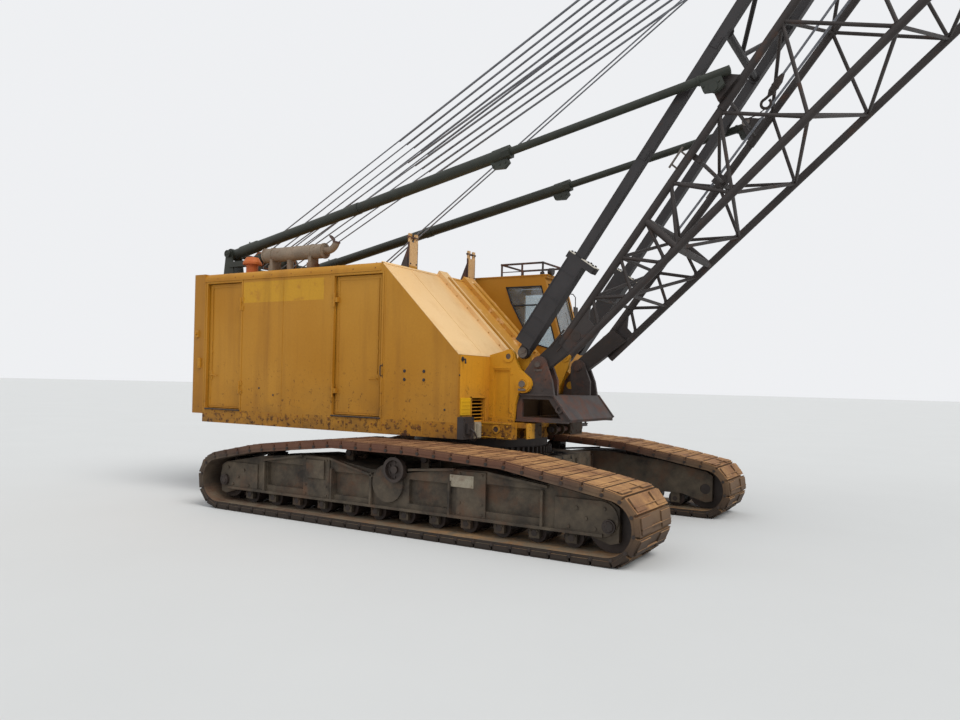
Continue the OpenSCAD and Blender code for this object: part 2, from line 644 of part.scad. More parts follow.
// Glass is a little smaller than its opening all round.
glass_fit = 0.999;
function shrunk(points) =
    let (c = [for (p = points) 1] * points / len(points)) [for (p = points) lerp(c, p, glass_fit)];
cab_hinge_x = cab_door_x[0] - door_gap / 2;
cab_hinge_z = [cab_door_z[0] + 300, cab_door_z[1] - 300];
module cab_shell() color(yellow) {
    wall_knuckles(cab_hinge_x, 1, cab_y1, cab_hinge_z);
    difference() {
        side_plate(cab_outline, [cab_y0, cab_y1]);
        side_plate(cab_inside, [cab_y0 + cab_wall, cab_y1 - cab_wall]);
        side_plate(side_window, [cab_y0 - 1, cab_y0 + cab_wall + 1]);
        shield_slab(shield_limits[0], shield_limits[1], shield_y, -60, 200);
        block([cab_door_x[0] - door_gap, cab_door_x[1] + door_gap],
              [cab_y1 - cab_wall - 1, cab_y1 + 1],
              [cab_door_z[0] - door_gap, cab_door_z[1] + door_gap]);
    }
}
rail_x = [-284, 500];
module cab_roof() color(yellow) {
    block([cab_back_x, 600], [cab_y0, cab_y1], [cab_z1, cab_z1 + cab_roof_t]);
    rail = cab_z1 + cab_roof_t + rail_h;
    for (x = [rail_x[0], 110, rail_x[1]]) for (y = [cab_y0 + 40, cab_y1 - 40])
        translate([x, y, cab_z1 + cab_roof_t - 5]) cylinder(h = rail_h + 5, r = 16, $fn = 8);
    for (y = [cab_y0 + 40, cab_y1 - 40]) rod([rail_x[0] - 16, y, rail], [rail_x[1] + 16, y, rail], 16);
    for (x = rail_x) rod([x, cab_y0 + 24, rail], [x, cab_y1 - 24, rail], 16);
}
module cab_glass() color(glass_tint) {
    side_plate(shrunk(side_window), [cab_y0 + 20, cab_y0 + 20 + glass_t]);
    shield_slab(shield_limits[0] + 1 - glass_fit, shield_limits[1] - 1 + glass_fit,
        [shield_y[0] + seat, shield_y[1] - seat], 20, glass_t);
}
module cab_door() color(yellow) {
    door_knuckles(cab_hinge_x, 1, cab_y1, cab_hinge_z);
    difference() {
        block(cab_door_x, [cab_y1 - cab_wall, cab_y1], cab_door_z);
        side_plate(door_window, [cab_y1 - cab_wall - 1, cab_y1 + 1]);
    }
}
module cab_door_glass() color(glass_tint)
    side_plate(shrunk(door_window), [cab_y1 - 30, cab_y1 - 30 + glass_t]);
cab_floor = cab_z0 + 60;
cab_mid_y = (cab_y0 + cab_y1) / 2;
module operator_seat() color(dark) {
    block([-520, -60], [cab_mid_y - 230, cab_mid_y + 230], [cab_floor + 430, cab_floor + 560]);
    block([-620, -500], [cab_mid_y - 230, cab_mid_y + 230], [cab_floor + 430, cab_floor + 1150]);
    block([-420, -160], [cab_mid_y - 130, cab_mid_y + 130], [cab_floor, cab_floor + 430]);
}
module control_stand() color(grime) {
    block([330, 560], [cab_mid_y - 250, cab_mid_y + 250], [cab_floor, cab_floor + 700]);
    for (i = [-2:2]) rod([440, cab_mid_y + i * 90, cab_floor + 690],
        [400, cab_mid_y + i * 90, cab_floor + 990], 12);
}
module catwalk() color(dark) {
    block([-600, 900], [half_w, 2150], [bed_z0 + 60, bed_z0 + 100]);
    for (x = [-500, 150, 800]) block([x - 30, x + 30], [half_w, 2100], [bed_z0 + 10, bed_z0 + 60]);
}

// Mast, drawn along +X from its foot pin and then raised.
leg_y = [leg_y0, leg_y0 + leg_w];
module raised(x, z, deg) translate([x, 0, z]) rotate([0, -deg, 0]) children();
mast_ear_r = 88;
leg_start = 130;
leg_top_y = [leg_y0 + (leg_w - leg_w1) / 2, leg_y0 + (leg_w + leg_w1) / 2];
mast_head_r = 300;
link_y = [pendant_y - 55, pendant_y - 27];
module mast_leg(side) color(dark) to_side(side) raised(mast_x, mast_z, mast_deg) difference() {
    union() {
        side_plate(concat(arc([0, 0], mast_ear_r, 90, 270, 8),
            [[520, -mast_ear_r], [520, mast_ear_r]]), mast_ear_y);
        block([leg_start, 540], [mast_ear_y[0], leg_y0 + 10], [-mast_ear_r, mast_ear_r]);
        block([leg_start, collar_s], leg_y, [-leg_d0 / 2, leg_d0 / 2]);
        block([collar_s, mast_l - 250], leg_top_y, [-leg_d1 / 2, leg_d1 / 2]);
        block([collar_s - 25, collar_s + 65], leg_y, [-295, 165]);
    }
    y_rod(0, 0, [mast_ear_y[0] - 1, mast_ear_y[1] + 1], mast_pin_r + pivot_gap);
}
// Bars and braces between the legs: they end flush with the inner faces of the legs.
knee_s = cross_s + knee_l;
module mast_brace() color(dark) raised(mast_x, mast_z, mast_deg) intersection() {
    union() {
        rod([cross_s, -leg_y0 - 60, 0], [cross_s, leg_y0 + 60, 0], 55);
        rod([cross_top_s, -leg_y0 - 60, 0], [cross_top_s, leg_y0 + 60, 0], 45);
        for (s = [-1, 1]) {
            rod([cross_s, 0, 0], [knee_s, s * (leg_y0 + 60), 0], 32);
            rod([knee_s, s * (leg_y0 + 60), 0], [cross_top_s - 20, -s * (leg_y0 + 60), 0], 36);
        }
    }
    block([0, mast_l], [-leg_top_y[0], leg_top_y[0]], [-100, 100]);
}
module mast_head() color(dark) raised(mast_x, mast_z, mast_deg) {
    both_sides() block([mast_l - 250, mast_l + 130], [leg_y0 + 20, leg_y[1] - 20], [-90, 90]);
    for (y = [-600, -300, -100, 100, 300, 600])
        block([mast_l - 200, mast_l + 130], [y - 15, y + 15], [-110, 110]);
    y_rod(mast_l, 0, [-leg_y0 - 30, leg_y0 + 30], 50);
    block([mast_l - 250, mast_l - 190], [-leg_y0 - 30, leg_y0 + 30], [-90, 90]);
    both_sides() translate([mast_l, 0, 0]) rotate([0, mast_deg - pendant_deg, 0])
        side_plate(concat(arc([0, 0], 75, 90, 270, 6), arc([330, 0], 55, -90, 90, 6)), link_y);
    for (y = hoist_y) for (s = [-50, 50]) y_rod(mast_l, 0, [y + s - 20, y + s + 20], mast_head_r);
}

// Boom, drawn along +X from its foot pin and then raised. Its four chords spread from the foot,
// run parallel through the insert and close in at the head.
head_start = butt_l + insert_l;
head_s = boom_l - 700;
function butt_t(s) = min(1, s / butt_l);
function top_t(s) = max(0, (s - head_start) / (head_s - head_start));
function along(at_foot, middle, at_head, s) =
    s < head_start ? lerp(at_foot, middle, butt_t(s)) : lerp(middle, at_head, top_t(s));
function chord_up(s) = along(foot_h, boom_h, head_h, s) / 2;
function chord_out(s) = along(foot_w, boom_w, head_w, s) / 2;
function chord_mid(s) = along(-boom_drop, -boom_drop, 0, s);
// columns: side, up; the corners follow each other round the boom
corners = [[-1, 1], [-1, -1], [1, -1], [1, 1]];
function corner(k, s) =
    [s, corners[k % 4][0] * chord_out(s), chord_mid(s) + corners[k % 4][1] * chord_up(s)];
// Lacing goes round the boom in steps: a station is a joint on two opposite corners only.
butt_stations = [2420, 2980, 3340, 3980, 4510, 5180, 5760, 6400, 7000, butt_l - 90];
insert_stations = [for (i = [0:8]) butt_l + 100 + i * (insert_l - 200) / 8];
top_stations = [for (i = [0:10]) head_start + 100 + i * (head_s - head_start - 200) / 10];
module lacing(stations, first) for (i = [0:len(stations) - 2]) for (k = [0:3])
    if ((k + i + first) % 2 == 0) {
        rod(corner(k, stations[i]), corner(k + 1, stations[i + 1]), lace_r);
        rod(corner(k, stations[i]), corner(k + 3, stations[i + 1]), lace_r);
    }
// A chord's seam is turned outward, away from the lacing. A sloping chord runs a little past
// the joint between two sections, and section_cut squares it off there.
module chords(s0, s1, before = 0, after = 0) for (k = [0:3]) {
    p = corner(k, s0);
    q = corner(k, s1);
    d = (q - p) / norm(q - p);
    rod(p - before * d, q + after * d, chord_r, 24, atan2(corners[k][0], -corners[k][1]));
}
chord_over = 20;
module section_cut(s0, s1) block([s0, s1], [-boom_w, boom_w], [-boom_h, boom_h]);
module end_frame(s, r) for (k = [0:3]) rod(corner(k, s), corner(k + 1, s), r);
module boom_frame() raised(boom_x, boom_z, boom_deg) children();

boom_ear_r = 115;
chord_start = 420;
boom_ear_l = 1150;
web_y = [foot_w / 2, foot_w / 2 + 40];
function chord_line(s) = [[s, chord_mid(s) - chord_up(s)], [s, chord_mid(s) + chord_up(s)]];
// columns: where the oval hole in a web starts and ends along the boom, its radius
web_hole = [1300, 1400, 42];
module boom_butt() color(dark) boom_frame() difference() {
    union() {
        chords(chord_start, butt_l, 0, chord_over);
        both_sides() {
            side_plate(concat(arc([0, 0], boom_ear_r, 90, 270, 8), chord_line(boom_ear_l)), boom_ear_y);
            side_plate(concat(chord_line(web_l), [chord_line(chord_start)[1], chord_line(chord_start)[0]]),
                web_y);
        }
        lacing(butt_stations, 1);
        end_frame(butt_stations[0], lace_r * 2);
        end_frame(butt_l - 60, lace_r * 1.4);
    }
    both_sides() {
        y_rod(0, 0, [boom_ear_y[0] - 1, boom_ear_y[1] + 1], boom_pin_r + pivot_gap);
        for (i = [0, 1]) y_rod(web_hole[i], -boom_drop, [web_y[0] - 1, web_y[1] + 1], web_hole[2]);
        block([web_hole[0], web_hole[1]], [web_y[0] - 1, web_y[1] + 1],
              [-boom_drop - web_hole[2], -boom_drop + web_hole[2]]);
    }
    section_cut(butt_l - seat, butt_l + 2 * chord_over);
}
module boom_insert() color(dark) boom_frame() {
    chords(butt_l, head_start);
    lacing(insert_stations, 0);
    end_frame(butt_l + 60, lace_r * 1.4);
    end_frame(head_start - 60, lace_r * 1.4);
}
head_plate_y = [head_w / 2 - 20, head_w / 2 + 25];
jib_bore_r = 35;
jib_at = [boom_l + 150, -250];
head_pin_r = 60;
pendant_pin_r = 40;
module boom_top() color(dark) boom_frame() difference() {
    union() {
        chords(head_start, head_s + 150, chord_over);
        lacing(top_stations, 0);
        end_frame(head_start + 60, lace_r * 1.4);
        end_frame(head_s, lace_r * 1.4);
        both_sides() {
            side_plate([[head_s - 250, -330], [boom_l - 60, -370], [boom_l + 230, -330],
                [boom_l + 230, 60], [boom_l + 60, 130], [boom_l, pendant_up + 70],
                [boom_l - 150, pendant_up + 70], [head_s - 250, 330]], head_plate_y);
            y_rod(boom_l - 60, pendant_up, [head_w / 2, pendant_y + 60], pendant_pin_r);
        }
        y_rod(boom_l, 0, [-head_w / 2, head_w / 2], head_pin_r);
    }
    both_sides() y_rod(jib_at[0], jib_at[1], [head_plate_y[0] - 1, head_plate_y[1] + 1], jib_bore_r);
    section_cut(head_start - 2 * chord_over, head_start + seat);
}
module head_sheaves() color(grime) boom_frame() difference() {
    union() {
        y_rod(boom_l, 0, [-370, 370], 110);
        for (y = [-280, -140, 0, 140, 280]) {
            y_rod(boom_l, 0, [y - 35, y + 35], sheave_r - 30);
            for (e = [-35, 20]) y_rod(boom_l, 0, [y + e, y + e + 15], sheave_r);
        }
    }
    y_rod(boom_l, 0, [-371, 371], head_pin_r + pivot_gap);
}

// Pendants: two ropes from the boom head back to the mast head.
function in_side(x, z, deg, p) =
    [x + p[0] * cos(deg) - p[1] * sin(deg), z + p[0] * sin(deg) + p[1] * cos(deg)];
pendant_top = in_side(boom_x, boom_z, boom_deg, [boom_l - 60, pendant_up]);
pendant_low = in_side(mast_x, mast_z, mast_deg, [mast_l, 0]);
pendant_run = pendant_top - pendant_low;
pendant_deg = atan2(pendant_run[1], pendant_run[0]);
pendant_l = norm(pendant_run);
module pendants() color(grime) both_sides() raised(pendant_low[0], pendant_low[1], pendant_deg)
    difference() {
        union() {
            rod([300, pendant_y, 0], [pendant_l - 60, pendant_y, 0], pendant_r, 16);
            block([240, 520], [pendant_y - pendant_r, pendant_y + pendant_r], [-45, 45]);
            y_rod(pendant_l, 0, [pendant_y - 40, pendant_y + 40], 95);
        }
        y_rod(pendant_l, 0, [pendant_y - 41, pendant_y + 41], pendant_pin_r + pivot_gap);
    }

// Boom hoist ropes from the gantry up to the mast head. Two parts lie side by side, so that one can
// slide along the other as the ropes grow shorter.
hoist_run = pendant_low - [stop_x, stop_z];
hoist_deg = atan2(hoist_run[1], hoist_run[0]);
hoist_l = norm(hoist_run);
function hoist_off(s) = lerp(hoist_low_r, mast_head_r, s / hoist_l) + hoist_rope_r + seat;
module hoist_part(s0, s1, side) color(grime) raised(stop_x, stop_z, hoist_deg)
    for (y = hoist_y) for (up = [-1, 1]) {
        across = y + side * (hoist_rope_r + seat / 2);
        rod([s0, across, up * hoist_off(s0)], [s1, across, up * hoist_off(s1)], hoist_rope_r, 12);
    }

// Backstops: an outer tube on the gantry pin and a rod that slides in it.
module stop_lug(s, top) side_plate([[s - 160, -top], [s - 130, -170], [s + 40, -210], [s + 130, -150],
    [s + 110, -top]], [-35, 35]);
stop_pin_drop = 150;
module backstop_tube(side) color(green) translate([0, side * stop_y, 0])
    raised(stop_x, stop_z, stop_deg) difference() {
        union() {
            translate([-30, 0, 0]) rotate([0, 90, 0]) cylinder(h = stop_outer_l + 30, r = stop_outer_r);
            y_rod(0, 0, [-stop_outer_r, stop_outer_r], 100);
            stop_lug(stop_outer_l - 160, (stop_outer_r + stop_rod_r) / 2);
        }
        translate([250, 0, 0]) rotate([0, 90, 0]) cylinder(h = stop_outer_l, r = stop_rod_r + pivot_gap);
        y_rod(0, 0, [-stop_outer_r - 1, stop_outer_r + 1], gantry_pin_r + pivot_gap);
    }
module backstop_rod(side) color(green) to_side(side) translate([0, stop_y, 0])
    raised(stop_x, stop_z, stop_deg) {
        translate([stop_l + 220 - stop_rod_l, 0, 0]) rotate([0, 90, 0])
            cylinder(h = stop_rod_l, r = stop_rod_r);
        stop_lug(stop_l, stop_rod_r / 2);
        y_rod(stop_l, -stop_pin_drop, [boom_w / 2 + chord_r + 5 - stop_y, 0], 40);
    }

carbody();
swing_ring();
track_frame(RIGHT);  // track_frame_right
track_frame(LEFT);  // track_frame_left
track(RIGHT);  // track_right
track(LEFT);  // track_left
drive_tumblers();
idlers();
track_rollers();
revolving_bed();
front_lugs();
boom_foot_frame();
counterweight();
house_side_right();
house_side_left();
house_roof();
house_slope();
house_front();
engine();
hoist_drums();
rear_gantry();
muffler();
cab_shell();
cab_roof();
cab_glass();
operator_seat();
control_stand();
catwalk();
house_door(RIGHT, right_doors[0]);  // door_right_rear
house_door(RIGHT, right_doors[1]);  // door_right_front
house_door(LEFT, left_doors[0]);  // door_left_rear
house_door(LEFT, left_doors[1]);  // door_left_front
cab_door();
cab_door_glass();
mast_leg(RIGHT);  // mast_leg_right
mast_leg(LEFT);  // mast_leg_left
mast_brace();
mast_head();
hoist_part(0, hoist_low_l, RIGHT);  // hoist_ropes_low
hoist_part(hoist_high_s, hoist_l, LEFT);  // hoist_ropes_high
boom_butt();
boom_insert();
boom_top();
head_sheaves();
pendants();
backstop_tube(RIGHT);  // backstop_tube_right
backstop_tube(LEFT);  // backstop_tube_left
backstop_rod(RIGHT);  // backstop_rod_right
backstop_rod(LEFT);  // backstop_rod_left
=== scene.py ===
"""Crawler crane: finishes, small parts and rigging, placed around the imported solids.

Metres, in the row's frame: +X forward under the boom, +Y to the driver's left, +Z up, ground at 0.
"""
import math

import bpy
from mathutils import Matrix, Vector


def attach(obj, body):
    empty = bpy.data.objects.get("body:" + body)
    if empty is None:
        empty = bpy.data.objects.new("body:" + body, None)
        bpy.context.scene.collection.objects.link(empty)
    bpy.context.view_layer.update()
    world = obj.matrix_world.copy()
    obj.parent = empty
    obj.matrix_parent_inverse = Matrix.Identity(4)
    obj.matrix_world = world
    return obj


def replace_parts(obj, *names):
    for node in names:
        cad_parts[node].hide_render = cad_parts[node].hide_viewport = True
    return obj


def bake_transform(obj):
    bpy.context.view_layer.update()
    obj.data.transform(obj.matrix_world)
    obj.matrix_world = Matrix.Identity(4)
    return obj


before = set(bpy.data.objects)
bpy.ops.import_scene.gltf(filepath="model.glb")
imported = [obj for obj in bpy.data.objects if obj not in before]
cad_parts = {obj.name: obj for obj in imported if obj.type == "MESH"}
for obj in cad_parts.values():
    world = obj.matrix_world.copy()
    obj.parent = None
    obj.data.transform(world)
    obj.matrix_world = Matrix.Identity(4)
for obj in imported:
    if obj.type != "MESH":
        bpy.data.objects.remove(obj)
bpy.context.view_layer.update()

# Sizes that the small parts share with the solids.
SIDES = ((-1, "right"), (1, "left"))
HALF_W = 1.70
REAR_X = -4.84
WALL_X0 = -4.52
ROOF_Z = 3.73
ROOF_LIP = 0.13
SLOPE_X0 = -0.74
FRONT_X = 0.63
SLOPE_Z1 = 2.38
BED_Z0, BED_Z1 = 1.23, 1.45
DOOR_Z = (1.48, 3.55)
REAR_DOOR = (-4.43, -3.64)
FRONT_DOOR = {-1: (-1.61, -0.72), 1: (-1.61, -0.83)}
CAB_Y = (1.0, 1.85)
CAB_X0 = -0.80
CAB_Z1 = 3.78
BOOM_FOOT = Vector((1.39, 0, 2.28))
BOOM_DEG, BOOM_L = 48.2, 21.34
BUTT_L, INSERT_L = 7.62, 6.10
HEAD_START = BUTT_L + INSERT_L
BOOM_H, BOOM_W = 1.54, 1.78
FOOT_H, FOOT_W, BOOM_DROP = 0.14, 1.44, 0.14
HEAD_H, HEAD_W = 0.56, 0.80
HEAD_S = BOOM_L - 0.70
CHORD_R, LACE_R = 0.054, 0.024
BUTT_STATIONS = (2.42, 2.98, 3.34, 3.98, 4.51, 5.18, 5.76, 6.40, 7.00, BUTT_L - 0.09)
INSERT_STATIONS = tuple(BUTT_L + 0.1 + i * (INSERT_L - 0.2) / 8 for i in range(9))
TOP_STATIONS = tuple(HEAD_START + 0.1 + i * (HEAD_S - HEAD_START - 0.2) / 10 for i in range(11))
PENDANT_Y, PENDANT_UP = 0.56, 0.45
MAST_FOOT = Vector((1.13, 0, 2.45))
MAST_DEG, MAST_L = 55.3, 8.30
LEG_Y = (0.79, 0.95)
KNEE_S, CROSS_S, CROSS_TOP_S = 5.55, 4.85, 6.90
STOP_PIVOT = Vector((-4.61, 0, 4.17))
STOP_Y, STOP_DEG = 1.02, 11.2
STOP_OUTER_L, STOP_L = 5.69, 8.55
ROPE_SHEAVES_Y = (-0.4, -0.2, 0.0, 0.2, 0.4)
MUFFLER_X, MUFFLER_Y, MUFFLER_Z = (-3.45, -2.15), -1.35, 4.03
DRUM_X, DRUM_Z = -1.10, 1.95
LUG_Y = 0.86
# Radius and height of the heads that recur.
BOLT_XS, BOLT_S, BOLT_M, BOLT_L = (0.009, 0.007), (0.010, 0.008), (0.012, 0.010), (0.014, 0.014)
BOLT_FLAT_M, BOLT_FLAT_L = (0.013, 0.010), (0.014, 0.012)
RIVET_XS, RIVET_S, RIVET = (0.006, 0.004), (0.009, 0.006), (0.010, 0.006)
DOOR_FACE = HALF_W - 0.045
FRAME_FACE = 2.355
HUB_X, HUB_Z, ROLLER_PITCH = 0.14, 0.835, 0.48
TRACK_Y, SHOE_W, END_X, END_R = 2.005, 1.07, 3.12, 0.43
CARRIERS = ((1.79, 1.09), (0.43, 1.165), (-0.86, 1.17), (-2.40, 1.01))
SHOE_COUNT = 60


# Mesh building: one Shape gathers many small solids and becomes one piece.
class Shape:
    def __init__(self):
        self.verts, self.faces = [], []

    def add(self, verts, faces, matrix=None):
        base = len(self.verts)
        self.verts += [matrix @ Vector(v) if matrix else Vector(v) for v in verts]
        self.faces += [tuple(base + i for i in f) for f in faces]

    def box(self, x, y, z, matrix=None):
        verts = [(a, b, c) for c in z for b in y for a in x]
        self.add(verts, [(0, 2, 3, 1), (4, 5, 7, 6), (0, 1, 5, 4), (2, 6, 7, 3), (0, 4, 6, 2), (1, 3, 7, 5)], matrix)

    def prism(self, points, y, matrix=None):
        """A plate whose outline is drawn in the side view (x, z), counter-clockwise, between two values of y."""
        n = len(points)
        verts = [(p[0], y[0], p[1]) for p in points] + [(p[0], y[1], p[1]) for p in points]
        sides = [(i, (i + 1) % n, n + (i + 1) % n, n + i) for i in range(n)]
        self.add(verts, [tuple(range(n))[::-1], tuple(range(n, 2 * n)), *sides], matrix)

    def rod(self, p, q, r, n=12, r2=None, matrix=None):
        """A round bar from p to q, tapered where its end has a radius r2."""
        p, q = Vector(p), Vector(q)
        turn = (q - p).to_track_quat("Z", "Y").to_matrix()
        ring = [(math.cos(2 * math.pi * i / n), math.sin(2 * math.pi * i / n)) for i in range(n)]
        verts = [p + turn @ Vector((r * a, r * b, 0)) for a, b in ring]
        end = r if r2 is None else r2
        verts += [q + turn @ Vector((end * a, end * b, 0)) for a, b in ring]
        faces = [(i, (i + 1) % n, n + (i + 1) % n, n + i) for i in range(n)]
        self.add(verts, faces + [tuple(range(n))[::-1], tuple(range(n, 2 * n))], matrix)

    def pin(self, x, y, z, r, n=20, r2=None, matrix=None):
        """A rod that lies across, from y[0] to y[1]."""
        self.rod((x, y[0], z), (x, y[1], z), r, n, r2, matrix)

    def strip(self, a, b, half, y):
        """A flat bar in the side view from a to b, both (x, z), as wide as twice half."""
        d = Vector((b[0] - a[0], b[1] - a[1])).normalized() * half
        self.prism([(a[0] + d.y, a[1] - d.x), (b[0] + d.y, b[1] - d.x), (b[0] - d.y, b[1] + d.x),
                    (a[0] - d.y, a[1] + d.x)], y)

    def tube(self, points, r, n=8, closed=False):
        """A tube along points, with rings turned to the path and kept from twisting."""
        pts = [Vector(p) for p in points]
        m = len(pts)
        frames, side = [], None
        for i in range(m):
            a = pts[i - 1] if (i or closed) else pts[i]
            b = pts[(i + 1) % m] if (i < m - 1 or closed) else pts[i]
            d = (b - a).normalized()
            if side is None:
                side = d.orthogonal().normalized()
            side = (side - d * side.dot(d)).normalized()
            frames.append((side, d.cross(side)))
        verts = []
        for p, (s, t) in zip(pts, frames):
            verts += [p + r * (math.cos(2 * math.pi * k / n) * s + math.sin(2 * math.pi * k / n) * t) for k in range(n)]
        runs = m if closed else m - 1
        faces = []
        for i in range(runs):
            j = (i + 1) % m
            faces += [(i * n + k, i * n + (k + 1) % n, j * n + (k + 1) % n, j * n + k) for k in range(n)]
        if not closed:
            faces += [tuple(range(n))[::-1], tuple((m - 1) * n + k for k in range(n))]
        self.add(verts, faces)

    def ring(self, centre, axis, r_out, r_in, w, n=24):
        """A washer-shaped solid of width w round an axis."""
        turn = Vector(axis).to_track_quat("Z", "Y").to_matrix()
        verts = []
        for h in (-w / 2, w / 2):
            for r in (r_out, r_in):
                verts += [Vector(centre) + turn @ Vector((r * math.cos(2 * math.pi * i / n),
                                                          r * math.sin(2 * math.pi * i / n), h)) for i in range(n)]
        faces = []
        for i in range(n):
            j = (i + 1) % n
            faces += [(i, j, 2 * n + j, 2 * n + i), (n + j, n + i, 3 * n + i, 3 * n + j),
                      (j, i, n + i, n + j), (2 * n + i, 2 * n + j, 3 * n + j, 3 * n + i)]
        self.add(verts, faces)

    def washer(self, x, y, z, r_out, r_in, w, n=24, matrix=None):
        """A ring round an axis that lies across."""
        at = Vector((x, y, z))
        self.ring(matrix @ at if matrix else at, (0, 1, 0), r_out, r_in, w, n)

    def bolt(self, at, axis, r, h):
        """A hexagon head that stands on a surface."""
        at, axis = Vector(at), Vector(axis).normalized()
        self.rod(at - axis * 0.002, at + axis * h, r, 6)

    def bolts(self, xs, ys, zs, axis, r, h):
        """A bolt at each crossing of the given places."""
        for x in xs:
            for y in ys:
                for z in zs:
                    self.bolt((x, y, z), axis, r, h)

    def bolt_circle(self, centre, side, spread, r, h, n=6, start=0):
        """Bolts round a centre, on a face that looks to one side."""
        for x, z in arc(centre[0], centre[2], spread, start, start + 360, n)[:-1]:
            self.bolt((x, centre[1], z), (0, side, 0), r, h)

    def dome(self, at, axis, r, h):
        """A rivet head: two stacked steps."""
        at, axis = Vector(at), Vector(axis).normalized()
        self.rod(at - axis * 0.001, at + axis * h * 0.6, r, 8, r * 0.85)
        self.rod(at + axis * h * 0.6, at + axis * h, r * 0.85, 8, r * 0.4)


def piece(name, shape, body, finish, sharp=32, bevel=0.0):
    """One piece of the visual model. A body of None leaves it attached to no body."""
    mesh = bpy.data.meshes.new(name)
    mesh.from_pydata([tuple(v) for v in shape.verts], [], shape.faces)
    mesh.validate()
    obj = bpy.data.objects.new(name, mesh)
    bpy.context.scene.collection.objects.link(obj)
    mesh.materials.append(M[finish])
    mesh.shade_smooth()
    mesh.set_sharp_from_angle(angle=math.radians(sharp))
    if bevel:
        mod = obj.modifiers.new("edge", "BEVEL")
        mod.width, mod.segments, mod.limit_method = bevel, 2, "ANGLE"
        mod.angle_limit = math.radians(40)
        mod.harden_normals = True
    if body:
        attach(obj, body)
    return obj


def raised(origin, deg):
    """Places a thing drawn along +X from a pin, turned up by deg about that pin."""
    return Matrix.Translation(origin) @ Matrix.Rotation(-math.radians(deg), 4, "Y")


BOOM = raised(BOOM_FOOT, BOOM_DEG)
MAST = raised(MAST_FOOT, MAST_DEG)


def about(middle, half):
    return middle - half, middle + half


def outward(side, a, b):
    """Two distances from the middle, on one side, in rising order."""
    return sorted((side * a, side * b))


def lerp(a, b, t):
    return a + (b - a) * t


def along(at_foot, middle, at_head, s):
    """A size of the boom at s: it grows over the butt and shrinks over the top section."""
    if s < HEAD_START:
        return lerp(at_foot, middle, min(1.0, s / BUTT_L))
    return lerp(middle, at_head, (s - HEAD_START) / (HEAD_S - HEAD_START))


def chord(s, side, up):
    """The centre of a boom chord at s from the foot pin, in the boom's own axes."""
    return Vector((s, side * along(FOOT_W, BOOM_W, HEAD_W, s) / 2,
                   along(-BOOM_DROP, -BOOM_DROP, 0, s) + up * along(FOOT_H, BOOM_H, HEAD_H, s) / 2))


def slope_z(x):
    """The height of the house's sloping sheet."""
    return ROOF_Z - (ROOF_Z - SLOPE_Z1) / (FRONT_X - SLOPE_X0) * (x - SLOPE_X0)


def arc(cx, cz, r, a0, a1, n):
    """The points of an arc from a0 to a1 degrees in n equal steps."""
    angles = [math.radians(a0 + (a1 - a0) * i / n) for i in range(n + 1)]
    return [(cx + r * math.cos(a), cz + r * math.sin(a)) for a in angles]


